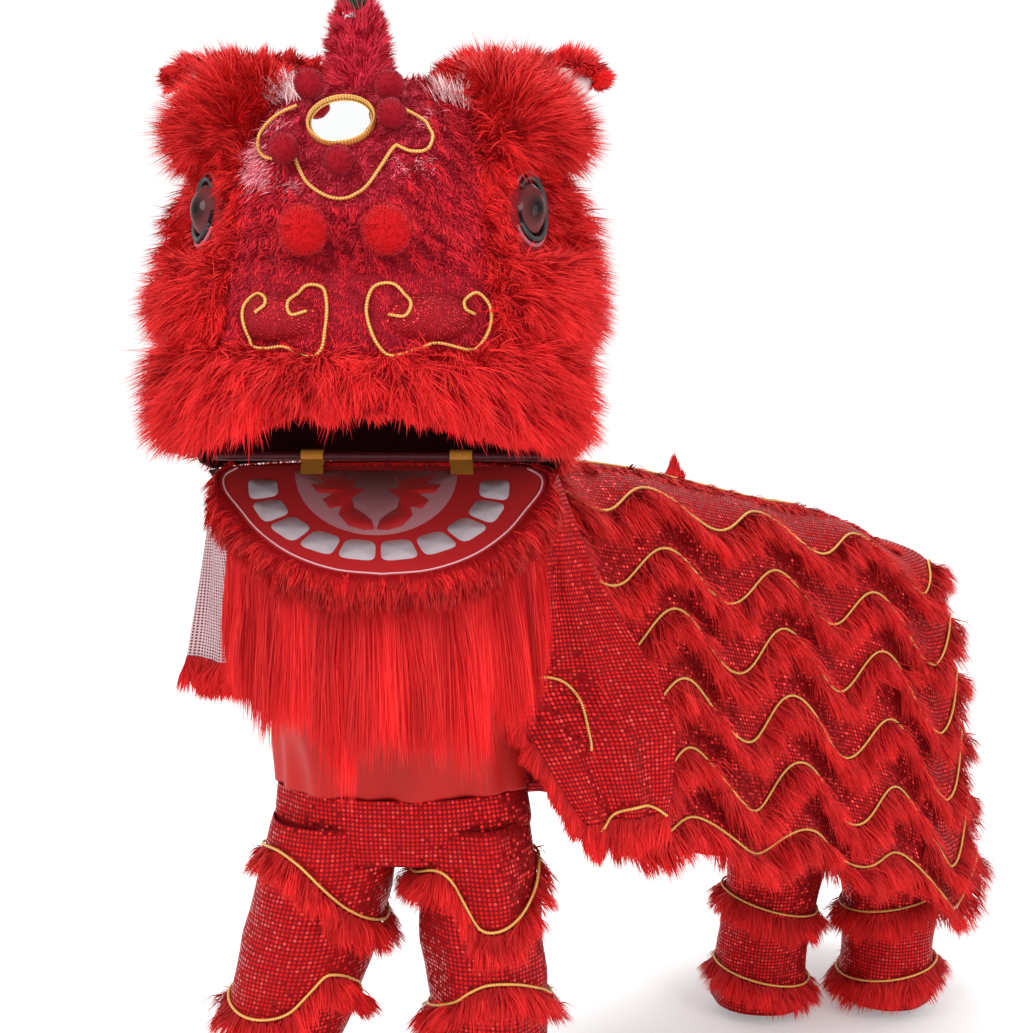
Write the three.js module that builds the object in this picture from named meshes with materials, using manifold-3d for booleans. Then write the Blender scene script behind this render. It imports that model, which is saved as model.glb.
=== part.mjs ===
// A red two-person lion dance costume: a furry lion head with a hinged jaw, a long cape with
// wavy fur rows, and two pairs of fringed trousers, as it hangs on its two dancers.
// The origin is the middle of the hand bar in the mouth. The lion looks along -Y, and +Z is up.

import * as THREE from "three";
import * as BufferGeometryUtils from "three/addons/utils/BufferGeometryUtils.js";
import Module from "manifold-3d";

const wasm = await Module();
wasm.setup();

// Driving dimensions, in millimetres and degrees
const SEAM = 0.3;
const SHELL_WALL = 6;
const CLOTH = 3;
const RIM_SIDE = -25;
const RIM_MOUTH = 14;
const RIM_FRONT_RISE = 74;
const RIM_FRONT_SPREAD = 42;
const HEAD_TOP = 592;
const HEAD_SQUARENESS = 2.4;
const HEAD_STEP = 12;
const PLUSH = 10;
const BAR_RADIUS = 8;
const JAW_PITCH = 37;
const JAW_LEAN = 0.09;
const JAW_BOARD = 6;

// The bare head shell, from its rim to its crown
const headLevels = [
  { z: -25, halfWidth: 285, front: 262, back: 232 },
  { z: 60, halfWidth: 297, front: 300, back: 245 },
  { z: 130, halfWidth: 298, front: 322, back: 254 },
  { z: 200, halfWidth: 294, front: 325, back: 258 },
  { z: 280, halfWidth: 285, front: 292, back: 258 },
  { z: 360, halfWidth: 278, front: 245, back: 250 },
  { z: 450, halfWidth: 266, front: 203, back: 228 },
  { z: 530, halfWidth: 228, front: 136, back: 180 },
  { z: 575, halfWidth: 150, front: 76, back: 110 },
  { z: 592, halfWidth: 1, front: 1, back: 1 },
];

// The ridge of the cape along the spine, and the middle of its hem
const spineRows = [
  { along: 40, ridge: -28, hem: -655 },
  { along: 300, ridge: -34, hem: -715 },
  { along: 500, ridge: -62, hem: -775 },
  { along: 840, ridge: -140, hem: -875 },
  { along: 1030, ridge: -178, hem: -950 },
  { along: 1220, ridge: -262, hem: -1060 },
];

// A cut through the cape: how far it stands out and how far it has dropped, over its girth
const capeProfile = [
  { girth: 0, out: 0, drop: 0 },
  { girth: 0.08, out: 95, drop: 0.015 },
  { girth: 0.16, out: 155, drop: 0.075 },
  { girth: 0.26, out: 190, drop: 0.18 },
  { girth: 0.45, out: 214, drop: 0.38 },
  { girth: 0.7, out: 236, drop: 0.66 },
  { girth: 1, out: 268, drop: 1 },
];

// The fur rows of the cape: place on its girth, swing of the wave, and shift along the cloth
const capeRows = [
  { girth: 0.19, swing: 0.035, shift: 0.53 },
  { girth: 0.345, swing: 0.055, shift: 0.51 },
  { girth: 0.5, swing: 0.065, shift: 0.48 },
  { girth: 0.66, swing: 0.065, shift: 0.44 },
  { girth: 0.82, swing: 0.065, shift: 0.42 },
  { girth: 0.95, swing: 0.035, shift: 0.42 },
];

const SPINE_START = new THREE.Vector3(20, 200, 0);
const SPINE_HEADING = THREE.MathUtils.degToRad(48);
const SPINE_FIRST = 40;
const SPINE_LAST = 1220;
const CAPE_WAVES = 10;
const CAPE_COLUMNS = 40;

const spineWay = new THREE.Vector3(Math.sin(SPINE_HEADING), Math.cos(SPINE_HEADING), 0);
const spineSide = new THREE.Vector3(spineWay.y, -spineWay.x, 0);

function blendOf(from, to, share) {
  return from + (to - from) * share;
}

function smooth(value, from, to) {
  return THREE.MathUtils.smoothstep(value, from, to);
}

// Reads a table between its rows, with straight lines or with a smooth curve
function readTable(rows, key, value, curved) {
  const last = rows.length - 1;
  let index = 0;
  while (index < last - 1 && value > rows[index + 1][key]) {
    index += 1;
  }
  const low = rows[index];
  const high = rows[index + 1];
  const span = high[key] - low[key];
  const share = THREE.MathUtils.clamp((value - low[key]) / span, 0, 1);
  const before = rows[Math.max(index - 1, 0)];
  const after = rows[Math.min(index + 2, last)];
  const result = {};
  for (const name of Object.keys(low)) {
    const straight = blendOf(low[name], high[name], share);
    if (!curved) {
      result[name] = straight;
      continue;
    }
    const slopeLow = (high[name] - before[name]) / (high[key] - before[key]);
    const slopeHigh = (after[name] - low[name]) / (after[key] - low[key]);
    const cube = share * share * (3 - 2 * share);
    const leave = share * (1 - share) * (1 - share) * span * slopeLow;
    const reach = share * share * (1 - share) * span * slopeHigh;
    result[name] = blendOf(low[name], high[name], cube) + leave - reach;
  }
  return result;
}

// Turns points and triangles into one closed mesh that faces outward
function closedMesh(points, triangles) {
  const loose = new THREE.BufferGeometry();
  loose.setAttribute("position", new THREE.Float32BufferAttribute(points.flatMap((p) => [p.x, p.y, p.z]), 3));
  loose.setIndex(triangles.flat());
  const merged = BufferGeometryUtils.mergeVertices(loose, 0.01);
  const index = merged.getIndex().array;
  const position = merged.getAttribute("position");
  const a = new THREE.Vector3();
  const b = new THREE.Vector3();
  const c = new THREE.Vector3();
  const kept = [];
  let volume = 0;
  for (let t = 0; t < index.length; t += 3) {
    const [i, j, k] = [index[t], index[t + 1], index[t + 2]];
    if (i === j || j === k || k === i) {
      continue;
    }
    kept.push([i, j, k]);
    a.fromBufferAttribute(position, i);
    b.fromBufferAttribute(position, j);
    c.fromBufferAttribute(position, k);
    volume += a.dot(b.cross(c));
  }
  merged.setIndex((volume < 0 ? kept.map(([i, j, k]) => [i, k, j]) : kept).flat());
  return merged;
}

// Sews an outer and an inner net of points into one skin. A wrapped net closes on itself, and a
// net that is folded in half along its first row meets itself there.
function sewnSkin(outer, inner, wrapped = false, folded = false) {
  const columns = outer.length;
  const rows = outer[0].length;
  const points = [...outer.flat(), ...inner.flat()];
  const offset = columns * rows;
  const triangles = [];
  const quad = (a, b, c, d) => triangles.push([a, b, c], [a, c, d]);
  const steps = wrapped ? columns : columns - 1;
  for (let i = 0; i < steps; i += 1) {
    const here = i * rows;
    const next = ((i + 1) % columns) * rows;
    for (let j = 0; j < rows - 1; j += 1) {
      quad(here + j, next + j, next + j + 1, here + j + 1);
      quad(offset + here + j, offset + here + j + 1, offset + next + j + 1, offset + next + j);
    }
    if (!folded) {
      quad(here, offset + here, offset + next, next);
    }
    const end = rows - 1;
    quad(here + end, next + end, offset + next + end, offset + here + end);
  }
  if (!wrapped) {
    const far = (columns - 1) * rows;
    for (let j = 0; j < rows - 1; j += 1) {
      quad(j, j + 1, offset + j + 1, offset + j);
      quad(far + j, offset + far + j, offset + far + j + 1, far + j + 1);
    }
  }
  return closedMesh(points, triangles);
}

// The direction in which a surface faces, from three points close together on it
function facing(surface, u, v, stepU, stepV) {
  const along = surface(u + stepU, v).sub(surface(u - stepU, v));
  const across = surface(u, v + stepV).sub(surface(u, v - stepV));
  return along.cross(across).normalize();
}

function netOf(columns, rows, pointAt) {
  return Array.from({ length: columns }, (_, i) => Array.from({ length: rows }, (_unused, j) => pointAt(i, j)));
}

function solidOf(geometry) {
  const plain = geometry.clone();
  plain.deleteAttribute("normal");
  plain.deleteAttribute("uv");
  const merged = BufferGeometryUtils.mergeVertices(plain, 0.001);
  return new wasm.Manifold(new wasm.Mesh({
    numProp: 3,
    vertProperties: new Float32Array(merged.getAttribute("position").array),
    triVerts: new Uint32Array(merged.getIndex().array),
  }));
}

function geometryOf(solid) {
  const mesh = solid.getMesh();
  const geometry = new THREE.BufferGeometry();
  geometry.setAttribute("position", new THREE.BufferAttribute(new Float32Array(mesh.vertProperties), 3));
  geometry.setIndex(new THREE.BufferAttribute(new Uint32Array(mesh.triVerts), 1));
  return geometry;
}

// Keeps the largest piece of a solid that a cut has left in several
function mainPiece(solid) {
  const pieces = solid.decompose();
  pieces.sort((a, b) => b.volume() - a.volume());
  return pieces[0];
}

function cutBy(geometry, ...cutters) {
  const rest = cutters.reduce((solid, cutter) => solid.subtract(solidOf(cutter)), solidOf(geometry));
  return geometryOf(mainPiece(rest));
}

function joined(...geometries) {
  return geometryOf(geometries.map(solidOf).reduce((sum, solid) => sum.add(solid)));
}

// Materials
const finishes = {
  fur: { color: 0xc81018, roughness: 0.9 },
  plush: { color: 0xb01530, roughness: 0.9 },
  sequin: { color: 0x8c1014, roughness: 0.45 },
  satin: { color: 0xc41a12, roughness: 0.55 },
  shell: { color: 0x8c1418, roughness: 0.7 },
  gold: { color: 0xd89a3c, roughness: 0.4, metalness: 0.5 },
  mirror: { color: 0xe8ecee, roughness: 0.08, metalness: 0.9 },
  white: { color: 0xe4dcdc, roughness: 0.6 },
  amber: { color: 0xd8942c, roughness: 0.6 },
  wood: { color: 0x5a1a18, roughness: 0.5 },
  board: { color: 0xc01c22, roughness: 0.5 },
  eye: { color: 0x4a1c1a, roughness: 0.15 },
  glitter: { color: 0x6a5a66, roughness: 0.35, metalness: 0.3 },
};

const costume = new THREE.Group();

function add(name, finish, geometry) {
  const mesh = new THREE.Mesh(geometry, new THREE.MeshStandardMaterial(finishes[finish]));
  mesh.name = name;
  costume.add(mesh);
  return mesh;
}

// The head

// Turn 0 is the lion's nose, and 90 its left cheek, on the viewer's right
function rimHeight(turn) {
  const folded = Math.abs(turn > 180 ? turn - 360 : turn);
  const mouth = blendOf(RIM_MOUTH, RIM_SIDE, smooth(folded, 76, 90));
  return mouth + RIM_FRONT_RISE * Math.exp(-((folded / RIM_FRONT_SPREAD) ** 2));
}

function headPoint(turn, z) {
  const level = readTable(headLevels, "z", z, true);
  const angle = THREE.MathUtils.degToRad(turn);
  const power = 2 / HEAD_SQUARENESS;
  const side = Math.sign(Math.sin(angle)) * Math.abs(Math.sin(angle)) ** power;
  const ahead = Math.sign(Math.cos(angle)) * Math.abs(Math.cos(angle)) ** power;
  const depth = ahead > 0 ? level.front : level.back;
  return new THREE.Vector3(side * level.halfWidth, -ahead * depth, z);
}

function headFacing(turn, z) {
  const safe = THREE.MathUtils.clamp(z, RIM_SIDE + 3, HEAD_TOP - 8);
  return facing(headPoint, turn, safe, 1.5, 2);
}

function offHead(turn, z, lift) {
  return headPoint(turn, z).addScaledVector(headFacing(turn, z), lift);
}

const HEAD_ROWS = 8;

function headRowHeight(turn, row, grown = 0) {
  const rim = rimHeight(turn) - (row === 0 ? grown : 0);
  return blendOf(rim, HEAD_TOP, Math.sin(row / (HEAD_ROWS - 1) * Math.PI / 2) ** 0.92);
}

function headShell(grown = 0) {
  const columns = 360 / HEAD_STEP;
  const net = (depth) => netOf(columns, HEAD_ROWS, (i, j) => {
    const turn = 360 * i / columns;
    if (j === HEAD_ROWS - 1) {
      return new THREE.Vector3(0, 0, HEAD_TOP - depth);
    }
    return offHead(turn, headRowHeight(turn, j, grown), -depth);
  });
  return sewnSkin(net(-grown), net(SHELL_WALL + grown), true);
}

// Everything on the head is cut back to this, the shell with the seam's width added
const shellWithSeam = headShell(SEAM);

// A patch of fur or plush on the head, between two turns and two heights, in tapered locks.
// Its columns are those of the shell, so that it lies on the shell's facets.
const PATCH_LIFT = 0.9;

function headPatch({
  turns, low, high, shellRows, depth, locks = 0.3, rows, edge = 4, lean = 0, cut = false, lift: asked = PATCH_LIFT,
}) {
  const lift = cut ? -SHELL_WALL / 2 : asked;
  const columns = Math.round((turns[1] - turns[0]) / HEAD_STEP) + 1;
  const place = (i, j) => {
    const turn = blendOf(turns[0], turns[1], i / (columns - 1));
    if (shellRows) {
      return { turn, z: headRowHeight(turn, blendOf(shellRows[0], shellRows[1], j / (rows - 1))) };
    }
    return { turn, z: blendOf(low(turn), high(turn), j / (rows - 1)) };
  };
  const inner = netOf(columns, rows, (i, j) => offHead(place(i, j).turn, place(i, j).z, lift));
  const outer = netOf(columns, rows, (i, j) => {
    const { turn, z } = place(i, j);
    const across = Math.sin(Math.PI * i / (columns - 1));
    const upward = Math.sin(Math.PI * j / (rows - 1));
    const fullness = Math.min(1, across * 2.2) ** 0.6 * Math.min(1, upward * 1.6) ** 0.6;
    const tuft = (i + j) % 2 === 0 ? 1 + locks : 1 - locks * 0.4;
    const point = offHead(turn, z, lift + edge + depth * fullness * tuft);
    point.z -= lean * fullness * tuft;
    return point;
  });
  const patch = sewnSkin(outer, inner);
  return cut ? cutBy(patch, shellWithSeam) : patch;
}

const level = (height) => () => height;
const eyeTurn = 57;
const browLow = (turn) => 440 + 10 * smooth(Math.abs(turn), 30, 60);

function lipTop(turn) {
  return rimHeight(turn) + 4 + blendOf(78, 172, smooth(Math.abs(turn), 0, 70));
}

const PATCH_EDGE = 4;
const turnedTo = (side, from, to) => (side > 0 ? [from, to] : [-to, -from]);
const browPatch = (side, grown = 0) => headPatch({
  turns: turnedTo(side, 36.4, 107.6), low: browLow, high: level(566), depth: 62, rows: 5, lift: 2.2,
  edge: PATCH_EDGE + grown,
});
const crownPatch = (grown = 0) => headPatch({
  turns: [108.4, 251.6], shellRows: [1, 6], depth: 40, rows: 6, edge: PATCH_EDGE + grown,
});

function sidePatches(side, suffix) {
  add(`brow_fur_${suffix}`, "fur", browPatch(side));
  const cheekLow = (turn) => lipTop(turn) + 6;
  const cheekHigh = (turn) => blendOf(300, 434, smooth(Math.abs(turn), 74, 86));
  add(`cheek_fur_${suffix}`, "fur", headPatch({
    turns: turnedTo(side, 36.4, 107.6), low: cheekLow, high: cheekHigh, depth: 46, rows: 6, lift: 1.25,
  }));
}

add("head_shell", "shell", headShell());
sidePatches(1, "left");
sidePatches(-1, "right");

add("lip_fur", "fur", headPatch({
  turns: [-84, 84], low: (turn) => rimHeight(turn) + 4, high: lipTop, depth: 52, rows: 5, lean: 10,
}));
add("crown_fur", "fur", crownPatch());
add("neck_fur", "fur", headPatch({
  turns: [96, 264], low: level(RIM_SIDE + 5), high: level(114), depth: 34, rows: 4,
}));

// The crimson plush of the forehead and nose, with a round seat cut out for the mirror
const MIRROR_RADIUS = 47;
const MIRROR_RING = 5;
const MIRROR_TURN = -5;
const MIRROR_HEIGHT = 497;
const MIRROR_SIDES = 16;

function headStand(turn, z, lift) {
  const stand = new THREE.Object3D();
  stand.position.copy(offHead(turn, z, lift));
  stand.quaternion.setFromUnitVectors(new THREE.Vector3(0, 0, 1), headFacing(turn, z));
  stand.updateMatrix();
  return stand.matrix;
}

function roundPlug(radius, from, to, sides) {
  const plug = new THREE.CylinderGeometry(radius, radius, to - from, sides);
  plug.rotateX(Math.PI / 2);
  plug.translate(0, 0, (from + to) / 2);
  return plug;
}

function ringAround(inner, outer, from, to, sides) {
  const profile = [[inner, from], [outer, from], [outer, to], [inner, to], [inner, from]];
  const ring = new THREE.LatheGeometry(profile.map(([x, y]) => new THREE.Vector2(x, y)), sides);
  ring.rotateX(Math.PI / 2);
  return ring;
}

const mirrorSeat = headStand(MIRROR_TURN, MIRROR_HEIGHT, 0);
const MIRROR_LIFT = 3;
const plushPatch = (grown) => headPatch({
  turns: [-34.5, 34.5], low: (turn) => lipTop(turn) + 7, high: level(552), depth: PLUSH + grown, locks: 0.08,
  rows: 6, cut: true,
});
const plushWithSeam = plushPatch(SEAM);
const mirrorHole = roundPlug(MIRROR_RADIUS + MIRROR_RING + 0.5, -20, 60, MIRROR_SIDES).applyMatrix4(mirrorSeat);
const mirrorDisc = roundPlug(MIRROR_RADIUS - 0.5, MIRROR_LIFT, MIRROR_LIFT + 14, MIRROR_SIDES).applyMatrix4(mirrorSeat);
const mirrorRing = ringAround(MIRROR_RADIUS, MIRROR_RADIUS + MIRROR_RING, MIRROR_LIFT, MIRROR_LIFT + 18, MIRROR_SIDES);
add("face_plush", "plush", cutBy(plushPatch(0), mirrorHole));
add("mirror", "mirror", mirrorDisc);
add("mirror_ring", "gold", mirrorRing.applyMatrix4(mirrorSeat));

// Padded panels that lie on the plush, drawn by their half sizes round a middle
function headPad({ turn, z, wide, tall, thick, lift, outline, sides = 14, rings = 3 }) {
  const spot = (i, j, rise) => {
    const angle = 2 * Math.PI * i / sides;
    const reach = outline(angle) * j / (rings - 1);
    const width = readTable(headLevels, "z", z, true).halfWidth;
    const toTurn = THREE.MathUtils.radToDeg(wide / width);
    return offHead(turn + toTurn * reach * Math.cos(angle), z + tall * reach * Math.sin(angle), rise);
  };
  const outer = netOf(sides, rings, (i, j) => {
    const share = (j / (rings - 1)) ** 2;
    return spot(i, j, lift + 1 + (thick - 1) * (1 - share));
  });
  const inner = netOf(sides, rings, (i, j) => spot(i, j, lift));
  return closedFan(outer, inner);
}

// A skin whose first ring of points is one point in the middle
function closedFan(outer, inner) {
  const sides = outer.length;
  const rings = outer[0].length;
  const points = [...outer.flat(), ...inner.flat()];
  const offset = sides * rings;
  const triangles = [];
  for (let i = 0; i < sides; i += 1) {
    const here = i * rings;
    const next = ((i + 1) % sides) * rings;
    triangles.push([here, here + 1, next + 1], [offset + here, offset + next + 1, offset + here + 1]);
    for (let j = 1; j < rings - 1; j += 1) {
      triangles.push([here + j, here + j + 1, next + j + 1], [here + j, next + j + 1, next + j]);
      triangles.push([offset + here + j, offset + next + j + 1, offset + here + j + 1]);
      triangles.push([offset + here + j, offset + next + j, offset + next + j + 1]);
    }
    const rim = rings - 1;
    triangles.push([here + rim, offset + here + rim, offset + next + rim]);
    triangles.push([here + rim, offset + next + rim, next + rim]);
  }
  return closedMesh(points, triangles);
}

const circle = level(1);
const PAD_LIFT = PLUSH - 4;

for (const [side, suffix] of [[1, "left"], [-1, "right"]]) {
  add(`nose_pad_${suffix}`, "sequin", cutBy(headPad({
    turn: side * 18, z: 218, wide: 62, tall: 34, thick: 19, lift: PAD_LIFT, outline: circle,
  }), plushWithSeam));
  add(`eye_${suffix}`, "eye", cutBy(headPad({
    turn: side * eyeTurn, z: 378, wide: 38, tall: 44, thick: 30, lift: -3, outline: circle, rings: 4, sides: 12,
  }), shellWithSeam));
}

// A ball of locks on a short wire stem that stands on the plush
function pompom(turn, z, radius, detail) {
  const stand = headStand(turn, z, 0);
  const base = PLUSH + 4;
  const ball = new THREE.IcosahedronGeometry(radius, detail);
  ball.deleteAttribute("uv");
  ball.deleteAttribute("normal");
  const round = BufferGeometryUtils.mergeVertices(ball, 0.01);
  const position = round.getAttribute("position");
  for (let i = 0; i < position.count; i += 1) {
    const reach = i % 2 === 0 ? 1.05 : 0.93;
    position.setXYZ(i, position.getX(i) * reach, position.getY(i) * reach, position.getZ(i) * reach);
  }
  round.translate(0, 0, base + radius * 1.02);
  const stem = roundPlug(4, 2, base + radius, 4);
  return cutBy(joined(round, stem).applyMatrix4(stand), plushWithSeam);
}

const smallPompoms = [
  { turn: -17, z: 536 },
  { turn: 6, z: 532 },
  { turn: 6.5, z: 488 },
  { turn: -18.2, z: 442 },
  { turn: -3.4, z: 425 },
];
smallPompoms.forEach(({ turn, z }, i) => add(`pompom_small_${i + 1}`, "plush", pompom(turn, z, 23, 1)));
add("pompom_big_left", "plush", pompom(6.5, 312, 37, 1));
add("pompom_big_right", "plush", pompom(-9.5, 312, 37, 1));

// The horn, a fat furry finger that stands on the crown and leans a little
const HORN_TURN = -4;
const HORN_FOOT = 562;

function lockedRoll(sides, stations, centreAt, radiusAt, locks) {
  const net = netOf(sides, stations, (i, j) => {
    const angle = 2 * Math.PI * i / sides;
    const share = j / (stations - 1);
    const tuft = (i + j) % 2 === 0 ? 1 + locks : 1 - locks / 2;
    const reach = radiusAt(share) * (j === 0 ? 1 : tuft);
    const centre = centreAt(share);
    return centre.add(new THREE.Vector3(Math.cos(angle) * reach, Math.sin(angle) * reach, 0));
  });
  return cappedRoll(net);
}

// Closes a wrapped net of rings with a fan over each end
function cappedRoll(net) {
  const sides = net.length;
  const stations = net[0].length;
  const points = net.flat();
  const triangles = [];
  const middleOf = (j) => {
    const middle = new THREE.Vector3();
    net.forEach((line) => middle.add(line[j]));
    return middle.divideScalar(sides);
  };
  points.push(middleOf(0), middleOf(stations - 1));
  for (let i = 0; i < sides; i += 1) {
    const here = i * stations;
    const next = ((i + 1) % sides) * stations;
    for (let j = 0; j < stations - 1; j += 1) {
      triangles.push([here + j, next + j, next + j + 1], [here + j, next + j + 1, here + j + 1]);
    }
    triangles.push([sides * stations, next, here]);
    triangles.push([sides * stations + 1, here + stations - 1, next + stations - 1]);
  }
  return closedMesh(points, triangles);
}

const hornFoot = headPoint(HORN_TURN, HORN_FOOT);
const horn = lockedRoll(
  10, 7,
  (share) => new THREE.Vector3(hornFoot.x - 4 * share, hornFoot.y + 34 + 18 * share, HORN_FOOT - 20 + 165 * share),
  (share) => 40 * Math.sqrt(Math.max(1 - share ** 3.2, 0.02)),
  0.07,
);
add("horn", "plush", cutBy(horn, shellWithSeam));

// The ears, shallow leaves behind the brows with a furry edge
const EAR_THICK = 4;

for (const [side, suffix] of [[1, "left"], [-1, "right"]]) {
  const earAt = (angle, reach, depth) => new THREE.Vector3(
    side * (222 + 118 * reach * Math.cos(angle)),
    58 + 16 * reach * reach + depth,
    582 + 44 * reach * Math.sin(angle) + 18 * reach * Math.cos(angle) ** 2,
  );
  const sides = 12;
  const rings = 2;
  const leaf = (depth) => netOf(sides, rings, (i, j) => earAt(2 * Math.PI * i / sides, j / (rings - 1), depth));
  const ear = closedFan(leaf(0), leaf(EAR_THICK));
  const furRoll = (grown) => {
    const stations = 11;
    const net = netOf(6, stations, (i, j) => {
      const turn = THREE.MathUtils.degToRad(blendOf(-14, 194, j / (stations - 1)));
      const centre = earAt(turn, 1.04, EAR_THICK / 2);
      const away = new THREE.Vector3(side * Math.cos(turn), 0, Math.sin(turn));
      const angle = 2 * Math.PI * i / 6;
      const ends = Math.min(1, Math.sin(Math.PI * j / (stations - 1)) * 1.7 + 0.35);
      const reach = 22 * ends * ((i + j) % 2 === 0 ? 1.15 : 0.92) + grown;
      centre.addScaledVector(away, reach * Math.cos(angle));
      centre.y += reach * Math.sin(angle);
      return centre;
    });
    return cappedRoll(net);
  };
  const brow = browPatch(side, SEAM);
  const crown = crownPatch(SEAM);
  add(`ear_fur_${suffix}`, "fur", cutBy(furRoll(0), shellWithSeam, brow, crown));
  add(`ear_${suffix}`, "white", cutBy(ear, furRoll(SEAM), shellWithSeam, brow, crown));
}

// The hand bar runs through the mouth from wall to wall
const barReach = headPoint(90, 0).x - SHELL_WALL - 0.5;
const handBar = new THREE.CylinderGeometry(BAR_RADIUS, BAR_RADIUS, 2 * (barReach + SHELL_WALL / 2), 12);
handBar.rotateZ(Math.PI / 2);
add("hand_bar", "wood", cutBy(handBar, shellWithSeam));

// The jaw: a padded board with a fur edge and a beard, hung from the bar by two tape loops

const jawPitch = THREE.MathUtils.degToRad(JAW_PITCH);
const jawAhead = new THREE.Vector3(JAW_LEAN, -Math.cos(jawPitch), -Math.sin(jawPitch));
const jawDown = new THREE.Vector3(0, Math.sin(jawPitch), -Math.cos(jawPitch));
const BOARD_TOP = -6;

function jawPoint(side, ahead, down) {
  return new THREE.Vector3(side, 0, 0).addScaledVector(jawAhead, ahead).addScaledVector(jawDown, down - BOARD_TOP);
}

// The board's edge from one lobe round the front to the other, as half an outline mirrored
const boardEdge = [
  { run: 0, side: 238, ahead: 16 },
  { run: 1, side: 262, ahead: 40 },
  { run: 2, side: 258, ahead: 74 },
  { run: 3, side: 232, ahead: 118 },
  { run: 4, side: 196, ahead: 172 },
  { run: 5, side: 142, ahead: 222 },
  { run: 6, side: 74, ahead: 254 },
  { run: 7, side: 0, ahead: 264 },
];

function boardEdgeAt(share) {
  const run = 7 * (1 - Math.abs(1 - 2 * share));
  const spot = readTable(boardEdge, "run", run, true);
  return new THREE.Vector2(share < 0.5 ? spot.side : -spot.side, spot.ahead);
}

const EDGE_STATIONS = 17;
const edgeStations = Array.from({ length: EDGE_STATIONS }, (_, j) => boardEdgeAt(j / (EDGE_STATIONS - 1)));
const boardCentre = new THREE.Vector2(0, 110);

const boardNet = (down) => netOf(EDGE_STATIONS, 2, (i, j) => {
  const spot = j === 0 ? boardCentre : edgeStations[i];
  return jawPoint(spot.x, spot.y, down);
});
add("jaw_board", "board", closedFan(boardNet(0), boardNet(JAW_BOARD)));

// A cut through the jaw's fur: how far out from the board's edge and how far under its top
const jawFurCut = [
  { out: SEAM, down: -3 },
  { out: 22, down: -6 },
  { out: 40, down: 12 },
  { out: 36, down: 38 },
  { out: 6, down: 54 },
  { out: -24, down: 40 },
  { out: -30, down: JAW_BOARD + SEAM },
  { out: SEAM, down: JAW_BOARD + SEAM },
];
const FUR_KEEL = 4;

function jawFurPoint(i, j) {
  const spot = edgeStations[j];
  const before = edgeStations[Math.max(j - 1, 0)];
  const after = edgeStations[Math.min(j + 1, EDGE_STATIONS - 1)];
  const away = new THREE.Vector2(before.y - after.y, after.x - before.x).normalize().multiplyScalar(-1);
  const section = jawFurCut[i];
  const soft = i > 0 && i < 6 && i !== FUR_KEEL;
  const tuft = soft ? ((i + j) % 2 === 0 ? 1.18 : 0.92) : 1;
  const room = soft ? blendOf(0.22, 1, smooth(spot.y, 50, 100)) : 1;
  const reach = section.out * tuft * room;
  return jawPoint(spot.x + away.x * reach, spot.y + away.y * reach, section.down * (soft ? tuft : 1));
}

add("jaw_fur", "fur", cappedRoll(netOf(jawFurCut.length, EDGE_STATIONS, jawFurPoint)));

// The beard hangs straight down from the keel of the jaw's fur in pointed locks
const BEARD_FIRST = 3;
const BEARD_COLUMNS = EDGE_STATIONS - 2 * BEARD_FIRST;
const beardRows = [
  { fall: 0, thick: 8 },
  { fall: 0.12, thick: 34 },
  { fall: 0.55, thick: 36 },
  { fall: 0.85, thick: 24 },
  { fall: 1, thick: 6 },
];

function beardNet(front) {
  return netOf(BEARD_COLUMNS, beardRows.length, (i, j) => {
    const root = jawFurPoint(FUR_KEEL, i + BEARD_FIRST);
    const { fall, thick } = beardRows[j];
    const centred = 2 * i / (BEARD_COLUMNS - 1) - 1;
    const length = (i % 2 === 0 ? 268 : 226) - 46 * centred ** 4;
    const tuft = (i + j) % 2 === 0 ? 1.2 : 0.8;
    root.z -= SEAM + 0.2 + length * fall;
    root.x += root.x * 0.08 * fall;
    root.y += 26 * fall;
    root.y += (front ? -0.5 : 0.5) * thick * tuft;
    return root;
  });
}

add("beard", "fur", cutBy(sewnSkin(beardNet(true), beardNet(false)), cappedRoll(
  netOf(jawFurCut.length, EDGE_STATIONS, (i, j) => {
    const point = jawFurPoint(i, j);
    return point.addScaledVector(jawDown, i === FUR_KEEL ? SEAM : 0);
  }),
)));

// Tape loops that ride round the bar and lie on the board
const LOOP_WIDTH = 36;
const LOOP_INNER = BAR_RADIUS + 0.6;
const LOOP_OUTER = LOOP_INNER + 2.4;
const LOOP_TAIL = 34;

for (const [middle, suffix] of [[-112, "right"], [128, "left"]]) {
  const outline = new THREE.Shape();
  const tailTop = BOARD_TOP + SEAM;
  outline.moveTo(LOOP_OUTER, 0);
  outline.absarc(0, 0, LOOP_OUTER, 0, Math.PI * 2, false);
  const hole = new THREE.Path();
  hole.absarc(0, 0, LOOP_INNER / Math.cos(Math.PI / 12), 0, Math.PI * 2, true);
  outline.holes.push(hole);
  const loop = new THREE.ExtrudeGeometry(outline, { depth: LOOP_WIDTH, bevelEnabled: false, curveSegments: 6 });
  const tail = new THREE.BoxGeometry(LOOP_TAIL, 2, LOOP_WIDTH);
  tail.translate(LOOP_OUTER + LOOP_TAIL / 2 - 3, tailTop + 1, LOOP_WIDTH / 2);
  const whole = joined(loop, tail);
  whole.translate(0, 0, -LOOP_WIDTH / 2);
  const basis = new THREE.Matrix4().makeBasis(
    new THREE.Vector3(0, -Math.cos(jawPitch), -Math.sin(jawPitch)),
    new THREE.Vector3(0, -Math.sin(jawPitch), Math.cos(jawPitch)),
    new THREE.Vector3(-1, 0, 0),
  );
  whole.applyMatrix4(basis);
  whole.translate(middle, 0, 0);
  add(`jaw_loop_${suffix}`, "amber", whole);
}

// The cape

const bladeOf = (side, along, out) => SPINE_START.clone()
  .addScaledVector(spineWay, along)
  .addScaledVector(spineSide, side * out);

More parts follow.
